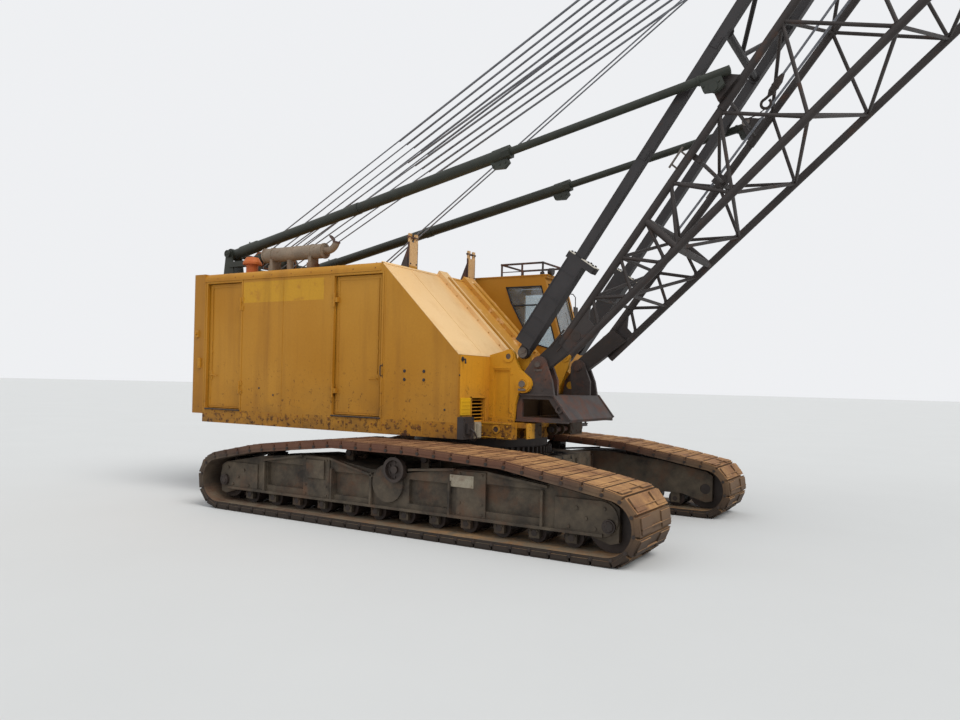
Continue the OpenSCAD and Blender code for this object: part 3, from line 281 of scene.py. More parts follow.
# Materials. Every finish is made from noise in the object's own metres.
class Nodes:
    def __init__(self, name):
        self.mat = bpy.data.materials.new(name)
        self.mat.use_nodes = True
        self.tree = self.mat.node_tree
        self.bsdf = self.tree.nodes["Principled BSDF"]
        self.coord = self.tree.nodes.new("ShaderNodeTexCoord").outputs["Object"]

    def link(self, a, b):
        self.tree.links.new(a, b)

    def node(self, kind, **values):
        n = self.tree.nodes.new(kind)
        for key, value in values.items():
            setattr(n, key, value)
        return n

    def noise(self, scale, detail=4.0, rough=0.55, stretch=(1, 1, 1), offset=(0, 0, 0), distort=0.0):
        m = self.node("ShaderNodeMapping")
        m.inputs["Scale"].default_value = stretch
        m.inputs["Location"].default_value = offset
        self.link(self.coord, m.inputs["Vector"])
        n = self.node("ShaderNodeTexNoise")
        n.inputs["Scale"].default_value = scale
        n.inputs["Detail"].default_value = detail
        n.inputs["Roughness"].default_value = rough
        n.inputs["Distortion"].default_value = distort
        self.link(m.outputs["Vector"], n.inputs["Vector"])
        return n.outputs["Fac"]

    def ramp(self, fac, low, high, a=0.0, b=1.0):
        """fac from low to high becomes a to b, held beyond."""
        n = self.node("ShaderNodeMapRange")
        n.inputs["From Min"].default_value, n.inputs["From Max"].default_value = low, high
        n.inputs["To Min"].default_value, n.inputs["To Max"].default_value = a, b
        self.link(fac, n.inputs["Value"])
        return n.outputs["Result"]

    def mul(self, a, b):
        n = self.node("ShaderNodeMath", operation="MULTIPLY")
        self.link(a, n.inputs[0])
        if isinstance(b, float):
            n.inputs[1].default_value = b
        else:
            self.link(b, n.inputs[1])
        return n.outputs[0]

    def highest(self, a, b):
        n = self.node("ShaderNodeMath", operation="MAXIMUM")
        self.link(a, n.inputs[0])
        self.link(b, n.inputs[1])
        return n.outputs[0]

    def mix(self, fac, a, b):
        """Colour a where fac is 0, b where it is 1. Either may be a colour or a socket."""
        n = self.node("ShaderNodeMix", data_type="RGBA")
        self.link(fac, n.inputs["Factor"])
        for socket, value in ((n.inputs[6], a), (n.inputs[7], b)):
            if isinstance(value, tuple):
                socket.default_value = (*value, 1.0)
            else:
                self.link(value, socket)
        return n.outputs[2]

    def axis(self, letter):
        n = self.node("ShaderNodeSeparateXYZ")
        self.link(self.coord, n.inputs[0])
        return n.outputs[letter]

    def facing_up(self):
        """0 on upright faces, 1 on level ones that look up."""
        n = self.node("ShaderNodeSeparateXYZ")
        self.link(self.node("ShaderNodeNewGeometry").outputs["Normal"], n.inputs[0])
        return self.ramp(n.outputs["Z"], 0.25, 0.75)

    def band(self, letter, low, high, soft=0.004):
        """1 between two places along an axis, 0 outside."""
        value = self.axis(letter)
        rise = self.ramp(value, low - soft, low + soft)
        fall = self.ramp(value, high - soft, high + soft, 1.0, 0.0)
        return self.mul(rise, fall)

    def colour(self, socket):
        self.link(socket, self.bsdf.inputs["Base Color"])

    def rough(self, socket):
        self.link(socket, self.bsdf.inputs["Roughness"])

    def bump(self, *layers):
        """layers: (height socket, strength, distance), stacked."""
        normal = None
        for height, strength, distance in layers:
            n = self.node("ShaderNodeBump")
            n.inputs["Strength"].default_value = strength
            n.inputs["Distance"].default_value = distance
            self.link(height, n.inputs["Height"])
            if normal:
                self.link(normal, n.inputs["Normal"])
            normal = n.outputs["Normal"]
        self.link(normal, self.bsdf.inputs["Normal"])


def srgb(r, g, b):
    """A colour written as it looks, 0 to 255, in Blender's linear values."""
    return tuple(((c / 255 + 0.055) / 1.055) ** 2.4 if c > 10 else c / 255 / 12.92 for c in (r, g, b))


RUST = srgb(104, 62, 38)
DARK_RUST = srgb(66, 42, 32)
GRIME = srgb(70, 58, 46)
OIL = srgb(38, 33, 30)


def paint(name, base, faded, deep, rust=0.5, streak=0.5, grime=(1.2, 2.0), grime_amount=0.55, rough=0.55,
          dents=0.5, seed=0.0, patch=None, eaten=None, greasy=None):
    """Old sheet-metal paint: faded blotches, vertical streaks, rust specks and dirt that rises from below."""
    n = Nodes(name)
    shift = (seed, seed * 1.7, seed * 0.6)
    # blotches of faded paint, and a patch of another colour laid over a box: a repainted panel on the walls, paler
    # posts on the roof and painted shade on the pale sheet
    tone = n.ramp(n.noise(0.55, 3.0, 0.5, offset=shift), 0.35, 0.68)
    colour = n.mix(tone, base, faded)
    if patch:
        inside = n.mul(n.band("X", *patch["x"]), n.band("Z", *patch["z"]))
        inside = n.mul(inside, n.band("Y", *patch["y"]))
        ragged = n.ramp(n.noise(5.0, 6.0, 0.7, offset=shift), 0.34, 0.44)
        colour = n.mix(n.mul(inside, ragged), colour, patch["colour"])
    # water streaks and fine wear
    run = n.ramp(n.noise(3.2, 5.0, 0.6, stretch=(1, 1, 0.09), offset=shift), 0.52, 0.78)
    colour = n.mix(n.mul(run, streak), colour, deep)
    fine = n.ramp(n.noise(26.0, 5.0, 0.7, offset=shift), 0.35, 0.75)
    colour = n.mix(n.mul(fine, 0.16), colour, deep)
    # dirt that thins out upwards
    height = n.ramp(n.axis("Z"), grime[0], grime[1], 1.0, 0.0)
    cloud = n.ramp(n.noise(1.6, 7.0, 0.65, offset=shift, distort=0.4), 0.36, 0.70)
    dirt = n.mul(n.mul(height, cloud), grime_amount)
    colour = n.mix(dirt, colour, GRIME)
    # chips and the rust that runs down from them
    chips = n.ramp(n.noise(7.5, 9.0, 0.72, offset=shift), 0.665, 0.70)
    runs = n.mul(n.ramp(n.noise(5.0, 8.0, 0.7, stretch=(1, 1, 0.22), offset=shift), 0.66, 0.74), 0.8)
    rusty = n.mul(n.highest(chips, runs), rust)
    colour = n.mix(rusty, colour, RUST)
    # grease round the pins, and sheet that is eaten through low down
    if greasy:
        wet = n.mul(n.mul(n.band("X", *greasy["x"], 0.03), n.band("Z", *greasy["z"], 0.04)),
                    n.band("Y", *greasy["y"], 0.02))
        wet = n.mul(wet, n.ramp(n.noise(4.0, 7.0, 0.7, offset=shift), 0.15, 0.38))
        colour = n.mix(n.mul(wet, 0.95), colour, OIL)
    if eaten:
        low = n.ramp(n.axis("Z"), eaten["z"][0], eaten["z"][1], 1.0, 0.0)
        spots = n.noise(eaten["scale"], 9.0, 0.75, offset=shift)
        holes = n.mul(low, n.ramp(spots, eaten["from"], eaten["from"] + 0.05))
        colour = n.mix(holes, colour, DARK_RUST)
        rusty = n.highest(rusty, holes)
    n.colour(colour)
    n.rough(n.ramp(n.highest(rusty, dirt), 0.0, 1.0, rough, 0.9))
    n.bsdf.inputs["Specular IOR Level"].default_value = 0.25
    n.bump((n.noise(0.9, 2.0, 0.5, offset=shift), dents, 0.03), (n.noise(40.0, 4.0, 0.6), 0.12, 0.002),
           (rusty, 0.3, 0.002))
    return n.mat


def steel(name, base, light, rust, rust_low=0.5, rust_high=0.68, rough=0.6, metal=0.0, scale=3.0, seed=0.0, mud=None):
    """Dark painted or bare iron with cloudy rust, and mud low down where it is asked for."""
    n = Nodes(name)
    shift = (seed, seed * 0.8, seed * 1.9)
    colour = n.mix(n.ramp(n.noise(scale, 6.0, 0.65, offset=shift), 0.35, 0.7), base, light)
    patches = n.ramp(n.noise(scale * 0.8, 9.0, 0.7, offset=(shift[1], shift[0], 3.0), distort=0.3), rust_low, rust_high)
    colour = n.mix(patches, colour, rust)
    grain = n.ramp(n.noise(45.0, 5.0, 0.7), 0.4, 0.75)
    colour = n.mix(n.mul(grain, 0.25), colour, DARK_RUST)
    rough_in = patches
    if mud:
        low = n.ramp(n.axis("Z"), mud["z"][0], mud["z"][1], 1.0, 0.0)
        cake = n.mul(low, n.ramp(n.noise(2.6, 8.0, 0.7, offset=shift), 0.30, 0.62))
        colour = n.mix(n.mul(cake, mud["amount"]), colour, mud["colour"])
        rough_in = n.highest(patches, cake)
    n.colour(colour)
    n.bsdf.inputs["Metallic"].default_value = metal
    n.bsdf.inputs["Specular IOR Level"].default_value = 0.3
    n.rough(n.ramp(rough_in, 0.0, 1.0, rough, 0.92))
    n.bump((n.noise(14.0, 8.0, 0.7, offset=shift), 0.25, 0.004), (grain, 0.2, 0.0015))
    return n.mat


def shoe_iron(name):
    """Track shoes: muddy flanks that darken low down, and a rubbed rusty tread, paler towards the front."""
    n = Nodes(name)
    cloud = n.ramp(n.noise(2.6, 8.0, 0.7), 0.36, 0.66)
    low = n.ramp(n.axis("Z"), 0.15, 0.60, 1.0, 0.0)
    # flanks: dry mud, redder at the top run, sandy at the front, dark near the ground
    up = n.facing_up()
    flank = n.mix(cloud, srgb(62, 53, 46), srgb(104, 90, 74))
    flank = n.mix(n.mul(n.ramp(n.axis("Z"), 0.80, 1.05), 0.75), flank, srgb(104, 66, 50))
    flank = n.mix(n.mul(n.ramp(n.axis("X"), 2.6, 3.2), 0.55), flank, srgb(124, 94, 66))
    flank = n.mix(n.mul(low, 0.9), flank, srgb(44, 39, 35))
    # tread: rubbed rust, with mud left where it faces up near the ground
    front = n.mix(cloud, srgb(128, 88, 58), srgb(190, 144, 94))
    rear = n.mix(cloud, srgb(76, 54, 44), srgb(118, 84, 64))
    tread = n.mix(n.ramp(n.axis("X"), -1.4, 1.2), rear, front)
    colour = n.mix(up, flank, tread)
    mud = n.mul(n.mul(up, low), n.ramp(n.noise(5.0, 8.0, 0.7, offset=(2, 5, 1)), 0.34, 0.60))
    colour = n.mix(mud, colour, srgb(122, 110, 92))
    grain = n.ramp(n.noise(45.0, 5.0, 0.7), 0.4, 0.75)
    colour = n.mix(n.mul(grain, 0.3), colour, DARK_RUST)
    n.colour(colour)
    n.bsdf.inputs["Specular IOR Level"].default_value = 0.25
    n.rough(n.ramp(cloud, 0.0, 1.0, 0.7, 0.92))
    n.bump((n.noise(14.0, 8.0, 0.7), 0.3, 0.005), (grain, 0.2, 0.0015))
    return n.mat


MUD = srgb(84, 75, 64)
GREASY = {"x": (0.60, 1.60), "y": (-0.72, 1.10), "z": (1.15, 1.88)}
YELLOW, YELLOW_FADED, YELLOW_DEEP = srgb(172, 116, 24), srgb(184, 130, 42), srgb(128, 80, 22)
M = {
    "yellow": paint("weathered_yellow", YELLOW, YELLOW_FADED, YELLOW_DEEP, patch={
        "x": (-3.583, -1.835), "z": (3.215, 3.55), "y": (-HALF_W - 0.01, -HALF_W + 0.02),
        "colour": srgb(194, 142, 34)}, eaten={"z": (1.4, 2.4), "scale": 13.0, "from": 0.585}),
    "roof": paint("roof_paint", YELLOW, YELLOW_FADED, YELLOW_DEEP, patch={
        "x": (-1.0, -0.6), "z": (3.77, 4.6), "y": (-1.3, 1.3), "colour": srgb(212, 172, 122)}),
    # the counterweight carries painted shade: a darker copy of the house yellow
    "painted_shade_yellow": paint("counterweight_painted_shade", srgb(160, 106, 24), srgb(170, 118, 40), YELLOW_DEEP, seed=3.0,
                    eaten={"z": (1.2, 2.0), "scale": 12.0, "from": 0.58}),
    "yellow_low": paint("weathered_yellow_low", YELLOW, YELLOW_FADED, YELLOW_DEEP, rust=0.75, streak=0.6,
                        grime=(1.20, 1.60), grime_amount=0.85, seed=4.0,
                        eaten={"z": (1.24, 1.75), "scale": 10.0, "from": 0.52}),
    "front": paint("front_paint", srgb(202, 136, 26), srgb(212, 150, 44), srgb(136, 84, 24), rust=0.7, streak=0.6,
                   grime=(1.4, 2.0), grime_amount=0.8, seed=6.5, eaten={"z": (1.3, 2.2), "scale": 12.0, "from": 0.56},
                   greasy=GREASY),
    # the darker orange patch on the pale sheet, from the first rib to the cab, is painted shade
    "pale": paint("pale_sheet", srgb(226, 184, 126), srgb(234, 198, 146), srgb(200, 146, 82), rust=0.3, streak=0.35,
                  grime=(2.3, 2.6), grime_amount=0.4, rough=0.5, seed=9.0, patch={
                      "x": (-0.9, 0.8), "z": (2.3, 4.0), "y": (0.15, 1.02), "colour": srgb(198, 142, 58)}),
    "bright": paint("bright_yellow", srgb(204, 144, 32), srgb(214, 158, 52), YELLOW_DEEP, rust=0.6,
                    grime=(1.2, 1.7), grime_amount=0.5, seed=2.0, eaten={"z": (1.25, 1.9), "scale": 12.0, "from": 0.54},
                    greasy=GREASY),
    "lemon": paint("lemon_plate", srgb(214, 164, 24), srgb(226, 180, 40), srgb(150, 104, 26), rust=0.6,
                   grime=(1.3, 1.8), grime_amount=0.5, seed=2.5),
    "dark": steel("dark_steel", srgb(44, 40, 39), srgb(58, 53, 51), srgb(84, 60, 48), 0.56, 0.74, 0.55),
    "mast": steel("mast_steel", srgb(38, 37, 38), srgb(50, 48, 49), srgb(78, 60, 52), 0.62, 0.8, 0.5, seed=5.0),
    "foot": steel("foot_steel", srgb(54, 48, 47), srgb(78, 70, 66), srgb(112, 72, 56), 0.48, 0.7, 0.6, seed=7.0),
    "green": steel("dark_green", srgb(38, 43, 37), srgb(50, 55, 47), srgb(76, 60, 46), 0.6, 0.8, 0.5, seed=3.0),
    "shoe": shoe_iron("worn_shoe"),
    "frame": steel("grimy_frame", srgb(42, 39, 35), srgb(104, 92, 76), srgb(98, 70, 52), 0.50, 0.70, 0.75, scale=2.8,
                   seed=6.0, mud={"z": (0.10, 0.95), "amount": 0.5, "colour": MUD}),
    "roller": steel("oily_iron", srgb(44, 38, 35), srgb(64, 54, 48), srgb(70, 50, 40), 0.55, 0.8, 0.55, seed=8.0),
    "rusty": steel("rusty_plate", srgb(128, 76, 44), srgb(160, 98, 56), srgb(92, 56, 38), 0.4, 0.7, 0.8, seed=11.0),
    "muffler": steel("muffler_sheet", srgb(118, 104, 88), srgb(148, 130, 110), srgb(116, 76, 50), 0.52, 0.74, 0.6,
                     seed=13.0),
    "rope": steel("wire_rope", srgb(112, 114, 120), srgb(136, 138, 144), srgb(96, 88, 84), 0.6, 0.85, 0.5, scale=3.0),
    "pin": steel("greased_pin", srgb(78, 72, 68), srgb(120, 112, 104), srgb(86, 60, 46), 0.5, 0.75, 0.4, metal=0.4),
    "worn": steel("worn_edge", srgb(150, 140, 120), srgb(176, 166, 146), srgb(110, 80, 60), 0.5, 0.75, 0.5, seed=15.0),
    "orange": steel("orange_cap", srgb(178, 90, 40), srgb(200, 114, 54), srgb(120, 66, 40), 0.55, 0.75, 0.6, seed=17.0),
    "whitish": steel("whitish_plate", srgb(196, 190, 176), srgb(216, 210, 196), srgb(120, 84, 60), 0.56, 0.72, 0.6,
                     seed=19.0),
    "lamp": steel("lamp_red", srgb(120, 24, 20), srgb(150, 36, 28), srgb(60, 40, 34), 0.62, 0.8, 0.3, seed=21.0),
}


def glass(name, tint):
    n = Nodes(name)
    n.bsdf.inputs["Base Color"].default_value = (*tint, 1.0)
    n.bsdf.inputs["Transmission Weight"].default_value = 0.9
    n.bsdf.inputs["IOR"].default_value = 1.45
    dust = n.ramp(n.noise(2.0, 6.0, 0.7), 0.3, 0.8, 0.02, 0.16)
    n.rough(dust)
    return n.mat


def soft(name, cloud, dark, light, grain, rough, bump):
    """Vinyl or rubber. cloud and grain are noise scales, rough is a range, bump is (scale, detail, strength)."""
    n = Nodes(name)
    n.colour(n.mix(n.ramp(n.noise(cloud, 6.0), 0.4, 0.7), dark, light))
    n.rough(n.ramp(n.noise(grain), 0.3, 0.7, *rough))
    n.bump((n.noise(bump[0], bump[1]), bump[2], 0.001))
    return n.mat


M["glass"] = glass("window_glass", srgb(206, 216, 220))
M["seat"] = soft("seat_vinyl", 6.0, srgb(34, 32, 31), srgb(52, 49, 46), 60.0, (0.45, 0.65), (180.0, 3.0, 0.3))
M["rubber"] = soft("dull_rubber", 12.0, srgb(28, 27, 27), srgb(46, 44, 42), 40.0, (0.7, 0.9), (90.0, 4.0, 0.2))

NODE_FINISH = {
    "painted_shade_yellow": ["counterweight"],
    "roof": ["house_roof"],
    "yellow": ["house_side_right", "house_side_left", "door_right_rear", "door_right_front", "door_left_rear",
               "door_left_front", "cab_shell", "cab_roof", "cab_door"],
    "yellow_low": ["revolving_bed"],
    "bright": ["front_lugs"],
    "front": ["house_front"],
    "pale": ["house_slope"],
    "dark": ["boom_butt", "boom_insert", "boom_top", "catwalk"],
    "mast": ["mast_leg_right", "mast_leg_left", "mast_brace", "mast_head"],
    "foot": ["boom_foot_frame"],
    "green": ["rear_gantry", "backstop_tube_right", "backstop_tube_left", "backstop_rod_right", "backstop_rod_left"],
    "shoe": ["track_right", "track_left"],
    "frame": ["carbody", "track_frame_right", "track_frame_left", "engine", "hoist_drums", "control_stand"],
    "roller": ["swing_ring", "track_rollers", "drive_tumblers", "idlers", "head_sheaves"],
    "muffler": ["muffler"],
    "rope": ["pendants", "hoist_ropes_low", "hoist_ropes_high"],
    "glass": ["cab_glass", "cab_door_glass"],
    "seat": ["operator_seat"],
}


def finish_nodes():
    for finish, names in NODE_FINISH.items():
        for name in names:
            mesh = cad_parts[name].data
            mesh.materials.clear()
            mesh.materials.append(M[finish])
            for p in mesh.polygons:
                p.material_index = 0


# Lower works.
def belt_points():
    """The belt's outer line in the side view, as in the solids: (x, z), once round."""
    pts = [(-END_X, 0.0)] + arc(END_X, END_R, END_R, -90, 75, 11) + [(2.80, 0.93)] + list(CARRIERS)
    return pts + arc(-END_X, END_R, END_R, 105, 255, 10)


def belt_places():
    """The gaps between shoes and the middles of shoes in turn: (place, direction along the belt)."""
    pts = [Vector((x, 0, z)) for x, z in belt_points()]
    runs = [(pts[i], pts[(i + 1) % len(pts)]) for i in range(len(pts))]
    total = sum((b - a).length for a, b in runs)
    out = []
    for i in range(SHOE_COUNT * 2):
        want, done = i * total / (SHOE_COUNT * 2), 0.0
        for a, b in runs:
            length = (b - a).length
            if done + length >= want:
                d = (b - a).normalized()
                out.append((a + d * (want - done), d))
                break
            done += length
    return out


def build_tracks():
    pin_in, rib_in = 0.078, 0.052
    for side, word in SIDES:
        pins, ribs = Shape(), Shape()
        flanks = ((side * (TRACK_Y + SHOE_W / 2), side), (side * (TRACK_Y - SHOE_W / 2), -side))
        for i, (p, d) in enumerate(belt_places()):
            into = Vector((-d.z, 0, d.x))
            turn = Matrix((d, (0, 1, 0), into)).transposed().to_4x4()
            if i % 2 == 0:
                c = p + into * pin_in
                for y, out in flanks:
                    pins.pin(c.x, (y - out * 0.01, y + out * 0.012), c.z, 0.022, 10)
                    pins.pin(c.x, (y, y + out * 0.018), c.z, 0.011, 8)
                continue
            c = p + into * rib_in
            for y, _ in flanks:
                ribs.box((-0.10, 0.10), (-0.006, 0.006), (-0.030, 0.022), Matrix.Translation((c.x, y, c.z)) @ turn)
            if p.z > 0.05:
                at = Matrix.Translation((p.x, side * TRACK_Y, p.z)) @ turn
                for k in (-0.34, 0.34):
                    ribs.box((-0.09, 0.09), about(k, 0.16), (-0.005, 0.014), at)
                ribs.box((-0.045, -0.030), (-0.50, 0.50), (-0.010, 0.014), at)
        piece(f"track_pins_{word}", pins, "lower", "roller")
        piece(f"shoe_ribs_{word}", ribs, "lower", "shoe", bevel=0.002)


def build_frames():
    for side, word in SIDES:
        thick, thin = outward(side, FRAME_FACE, FRAME_FACE + 0.055), outward(side, FRAME_FACE, FRAME_FACE + 0.022)
        face, way_out = side * (FRAME_FACE + 0.022), (0, side, 0)
        s = Shape()
        # a flange's lower edge from (x, z) to (x, z), then its height
        for a, b, c, d, h in ((-3.05, 0.300, -0.95, 0.300, 0.035), (-0.95, 0.300, 3.05, 0.300, 0.035),
                              (-2.32, 0.765, -1.52, 0.885, 0.032), (-1.03, 0.885, -0.24, 0.700, 0.032),
                              (0.34, 0.830, 1.05, 0.890, 0.032), (1.55, 0.885, 2.35, 0.790, 0.032)):
            s.prism([(a, b), (c, d), (c, d + h), (a, b + h)], thick)
        # the rounded bearing plates at both ends and the thicker box between the panels
        for way in (-1, 1):
            nose = arc(way * 3.02, 0.50, 0.205, -90 * way, 180 - 90 * way, 12)
            s.prism(nose + [(way * 2.44, z) for z in (0.705, 0.300)[::way]], thin)
            for x, z in ((3.06, 0.62), (2.95, 0.38), (2.72, 0.60), (2.62, 0.38), (2.84, 0.49)):
                s.bolt((way * x, face, z), way_out, 0.022, 0.018)
        s.box((-1.52, -1.03), thin, (0.335, 0.905))
        s.box((-1.44, -1.11), outward(side, FRAME_FACE + 0.02, FRAME_FACE + 0.05), (0.60, 0.86))
        s.box((1.08, 1.50), thin, (0.335, 0.895))
        for x in (-2.28, -0.98, -0.28, 0.98, 2.28):
            s.box(about(x, 0.016), thick, (0.33, 0.76))
        s.bolts((-1.47, -1.08, 1.13, 1.45), (face,), (0.37, 0.50, 0.86), way_out, 0.016, 0.014)
        s.bolts([(i - 5.5) * ROLLER_PITCH + k for i in range(12) for k in (-0.045, 0.045)],
                (side * (FRAME_FACE - 0.018),), (0.265,), way_out, *BOLT_L)
        piece(f"frame_flanges_{word}", s, "lower", "frame", bevel=0.003)
        hub = Shape()
        y = side * (FRAME_FACE + 0.04)
        hub.ring((HUB_X, y + side * 0.030, HUB_Z), way_out, 0.168, 0.128, 0.075, 36)
        hub.pin(HUB_X, (y - side * 0.05, y + side * 0.050), HUB_Z, 0.058, 24, 0.050)
        hub.pin(HUB_X, (y - side * 0.05, y + side * 0.018), HUB_Z, 0.135, 32)
        hub.bolt_circle((HUB_X, y + side * 0.018, HUB_Z), side, 0.095, *BOLT_L, start=30)
        for x, z in CARRIERS:
            hub.pin(x, (side * (TRACK_Y + 0.14), side * (TRACK_Y + 0.185)), z - 0.195, 0.050, 20, 0.044)
        end = side * (FRAME_FACE + 0.06)
        for x in (-END_X, END_X):
            hub.pin(x, (end, end + side * 0.014), END_R, 0.066, 24, 0.058)
            hub.bolt_circle((x, end + side * 0.013, END_R), side, 0.045, 0.009, 0.008)
        piece(f"frame_hubs_{word}", hub, "lower", "roller")
    plate = Shape()
    plate.box((0.98, 1.33), (-FRAME_FACE - 0.030, -FRAME_FACE - 0.020), (0.69, 0.84))
    plate.bolts((1.01, 1.30), (-FRAME_FACE - 0.030,), (0.715, 0.815), (0, -1, 0), 0.011, 0.008)
    piece("frame_cover_plate", plate, "lower", "worn")


def build_carbody():
    axle_x = 0.95
    s = Shape()
    for way in (-1, 1):
        for y in (-0.85, -0.30, 0.30, 0.85):
            s.box(outward(way, 1.35, 1.375), about(y, 0.20), (0.48, 0.86))
            s.bolts((way * 1.375,), about(y, 0.17), (0.51, 0.83), (way, 0, 0), *BOLT_FLAT_M)
        s.box(outward(way, 1.35, 1.47), (-0.10, 0.10), (0.42, 0.50))
        for side in (-1, 1):
            middle = way * axle_x
            for x in about(middle, 0.26):
                s.box(about(x, 0.012), outward(side, 1.255, 1.63), (0.43, 0.83))
            s.box(about(middle, 0.28), outward(side, 1.60, 1.652), (0.40, 0.86))
            s.bolts([middle - 0.22 + 0.11 * i for i in range(5)], (side * 1.60,), (0.845, 0.415), (0, -side, 0),
                    *BOLT_L)
    piece("carbody_plates", s, "lower", "frame", bevel=0.003)
    b = Shape()
    for x, y in arc(0, 0, 1.142, 0, 360, 48)[:-1]:
        b.bolt((x, y, 0.96), (0, 0, 1), 0.010, 0.012)
    piece("swing_ring_bolts", b, "lower", "roller")
    hose = Shape()
    for y in (-0.16, -0.05, 0.06, 0.17):
        hose.tube([(0, y, 0.98), (0.25, y, 0.99), (0.60, y * 1.4, 0.97), (0.95, y * 2.2, 0.955), (1.22, y * 2.6, 0.948),
                   (1.345, y * 2.8, 0.90), (1.395, y * 2.9, 0.74), (1.40, y * 3, 0.52)], 0.016, 8)
    piece("carbody_hoses", hose, "lower", "rubber")


# House.
def side_box(shape, x, side, z, out):
    """A strip on the house wall that stands out by out."""
    shape.box(x, outward(side, HALF_W, HALF_W + out), z)


def steps(start, stop, pitch):
    """Places from start up to stop at one pitch."""
    out = [start]
    while out[-1] + pitch < stop:
        out.append(out[-1] + pitch)
    return out


def build_house_sides():
    under_roof = ROOF_Z - ROOF_LIP
    for side, word in SIDES:
        seams, bolts, sills = Shape(), Shape(), Shape()
        front = CAB_X0 if side > 0 else FRONT_X
        for x in (-4.50, -2.69) + ((-0.655,) if side < 0 else ()):
            side_box(seams, about(x, 0.009), side, (BED_Z1 + 0.02, under_roof), 0.004)
        for x in (-2.22, -1.36, -0.68, 0.05):
            if x < front:
                side_box(seams, about(x, 0.010), side, (BED_Z0 + 0.01, BED_Z1), 0.005)
        # frames round the door openings and the drip rail under the roof
        for x0, x1 in (REAR_DOOR, FRONT_DOOR[side]):
            for x in (x0 - 0.045, x1 + 0.012):
                side_box(seams, (x, x + 0.033), side, (DOOR_Z[0] - 0.05, DOOR_Z[1] + 0.05), 0.007)
            side_box(seams, (x0 - 0.012, x1 + 0.012), side, (DOOR_Z[1] + 0.012, DOOR_Z[1] + 0.045), 0.007)
            side_box(sills, (x0 - 0.02, x1 + 0.03), side, (DOOR_Z[0] - 0.035, DOOR_Z[0] - 0.014), 0.022)
        side_box(seams, (WALL_X0, front if side > 0 else SLOPE_X0), side, (under_roof - 0.004, under_roof + 0.010),
                 0.018)
        for i, x in enumerate(steps(WALL_X0 + 0.10, front - 0.06, 0.21)):
            bolts.bolt((x, side * HALF_W, 1.365 + 0.05 * (i % 3 == 1)), (0, side, 0), 0.012, 0.009)
            if i % 2 and x < SLOPE_X0 - 0.05:
                bolts.dome((x, side * HALF_W, under_roof + 0.045), (0, side, 0), *RIVET)
        piece(f"wall_seams_{word}", seams, "upper", "yellow", bevel=0.0015)
        piece(f"wall_bolts_{word}", bolts, "upper", "rusty")
        piece(f"door_sills_{word}", sills, "upper", "dark", bevel=0.002)


def build_side_fittings():
    s, w = Shape(), Shape()
    s.bolts((-0.276, 0.06), (-HALF_W,), (2.144, 2.023), (0, -1, 0), 0.016, 0.012)
    for x in (-0.276, 0.06):
        for z in (2.144, 2.023):
            s.washer(x, -HALF_W - 0.003, z, 0.024, 0.012, 0.006, 16)
    for x, z in ((-3.177, 1.83), (-2.86, 1.727), (0.42, 1.62)):
        s.dome((x, -HALF_W, z), (0, -1, 0), 0.018, 0.008)
    s.tube([(-0.690, -HALF_W, 2.065), (-0.690, -HALF_W - 0.035, 2.080), (-0.690, -HALF_W - 0.035, 2.209),
            (-0.690, -HALF_W, 2.224)], 0.009, 8)
    for z in (2.065, 2.224):
        s.box((-0.712, -0.668), (-HALF_W - 0.006, -HALF_W), about(z, 0.022))
    for side in (-1, 1):
        side_box(w, (-4.72, -4.64), side, (2.66, 2.78), 0.030)
        side_box(w, (-4.64, -4.58), side, (2.14, 2.31), 0.030)
        w.pin(-4.68, (side * (HALF_W + 0.02), side * (HALF_W + 0.055)), 2.72, 0.018, 12)
        w.bolts((-4.61,), (side * (HALF_W + 0.030),), (2.17, 2.28), (0, side, 0), *BOLT_S)
    piece("side_fittings", s, "upper", "dark", bevel=0.0015)
    piece("rear_corner_catches", w, "upper", "yellow", bevel=0.0015)
    louvre = Shape()
    y0, y1 = HALF_W - 0.001, HALF_W + 0.028
    for k in range(11):
        z = 2.25 + 0.075 * k
        for x0, x1 in ((-3.48, -2.80), (-2.60, -1.90)):
            louvre.add([(x0, y0, z), (x1, y0, z), (x1, y1, z + 0.012), (x0, y1, z + 0.012), (x0, y0, z + 0.055),
                        (x1, y0, z + 0.055)], [(0, 1, 2, 3), (3, 2, 5, 4), (0, 3, 4), (1, 5, 2), (0, 4, 5, 1)])
    for x0, x1 in ((-3.52, -2.76), (-2.64, -1.86)):
        for z in (2.20, 3.09):
            side_box(louvre, (x0, x1), 1, (z, z + 0.022), 0.008)
        for x in (x0, x1 - 0.022):
            side_box(louvre, (x, x + 0.022), 1, (2.20, 3.11), 0.008)
    piece("air_louvres_left", louvre, "upper", "yellow")


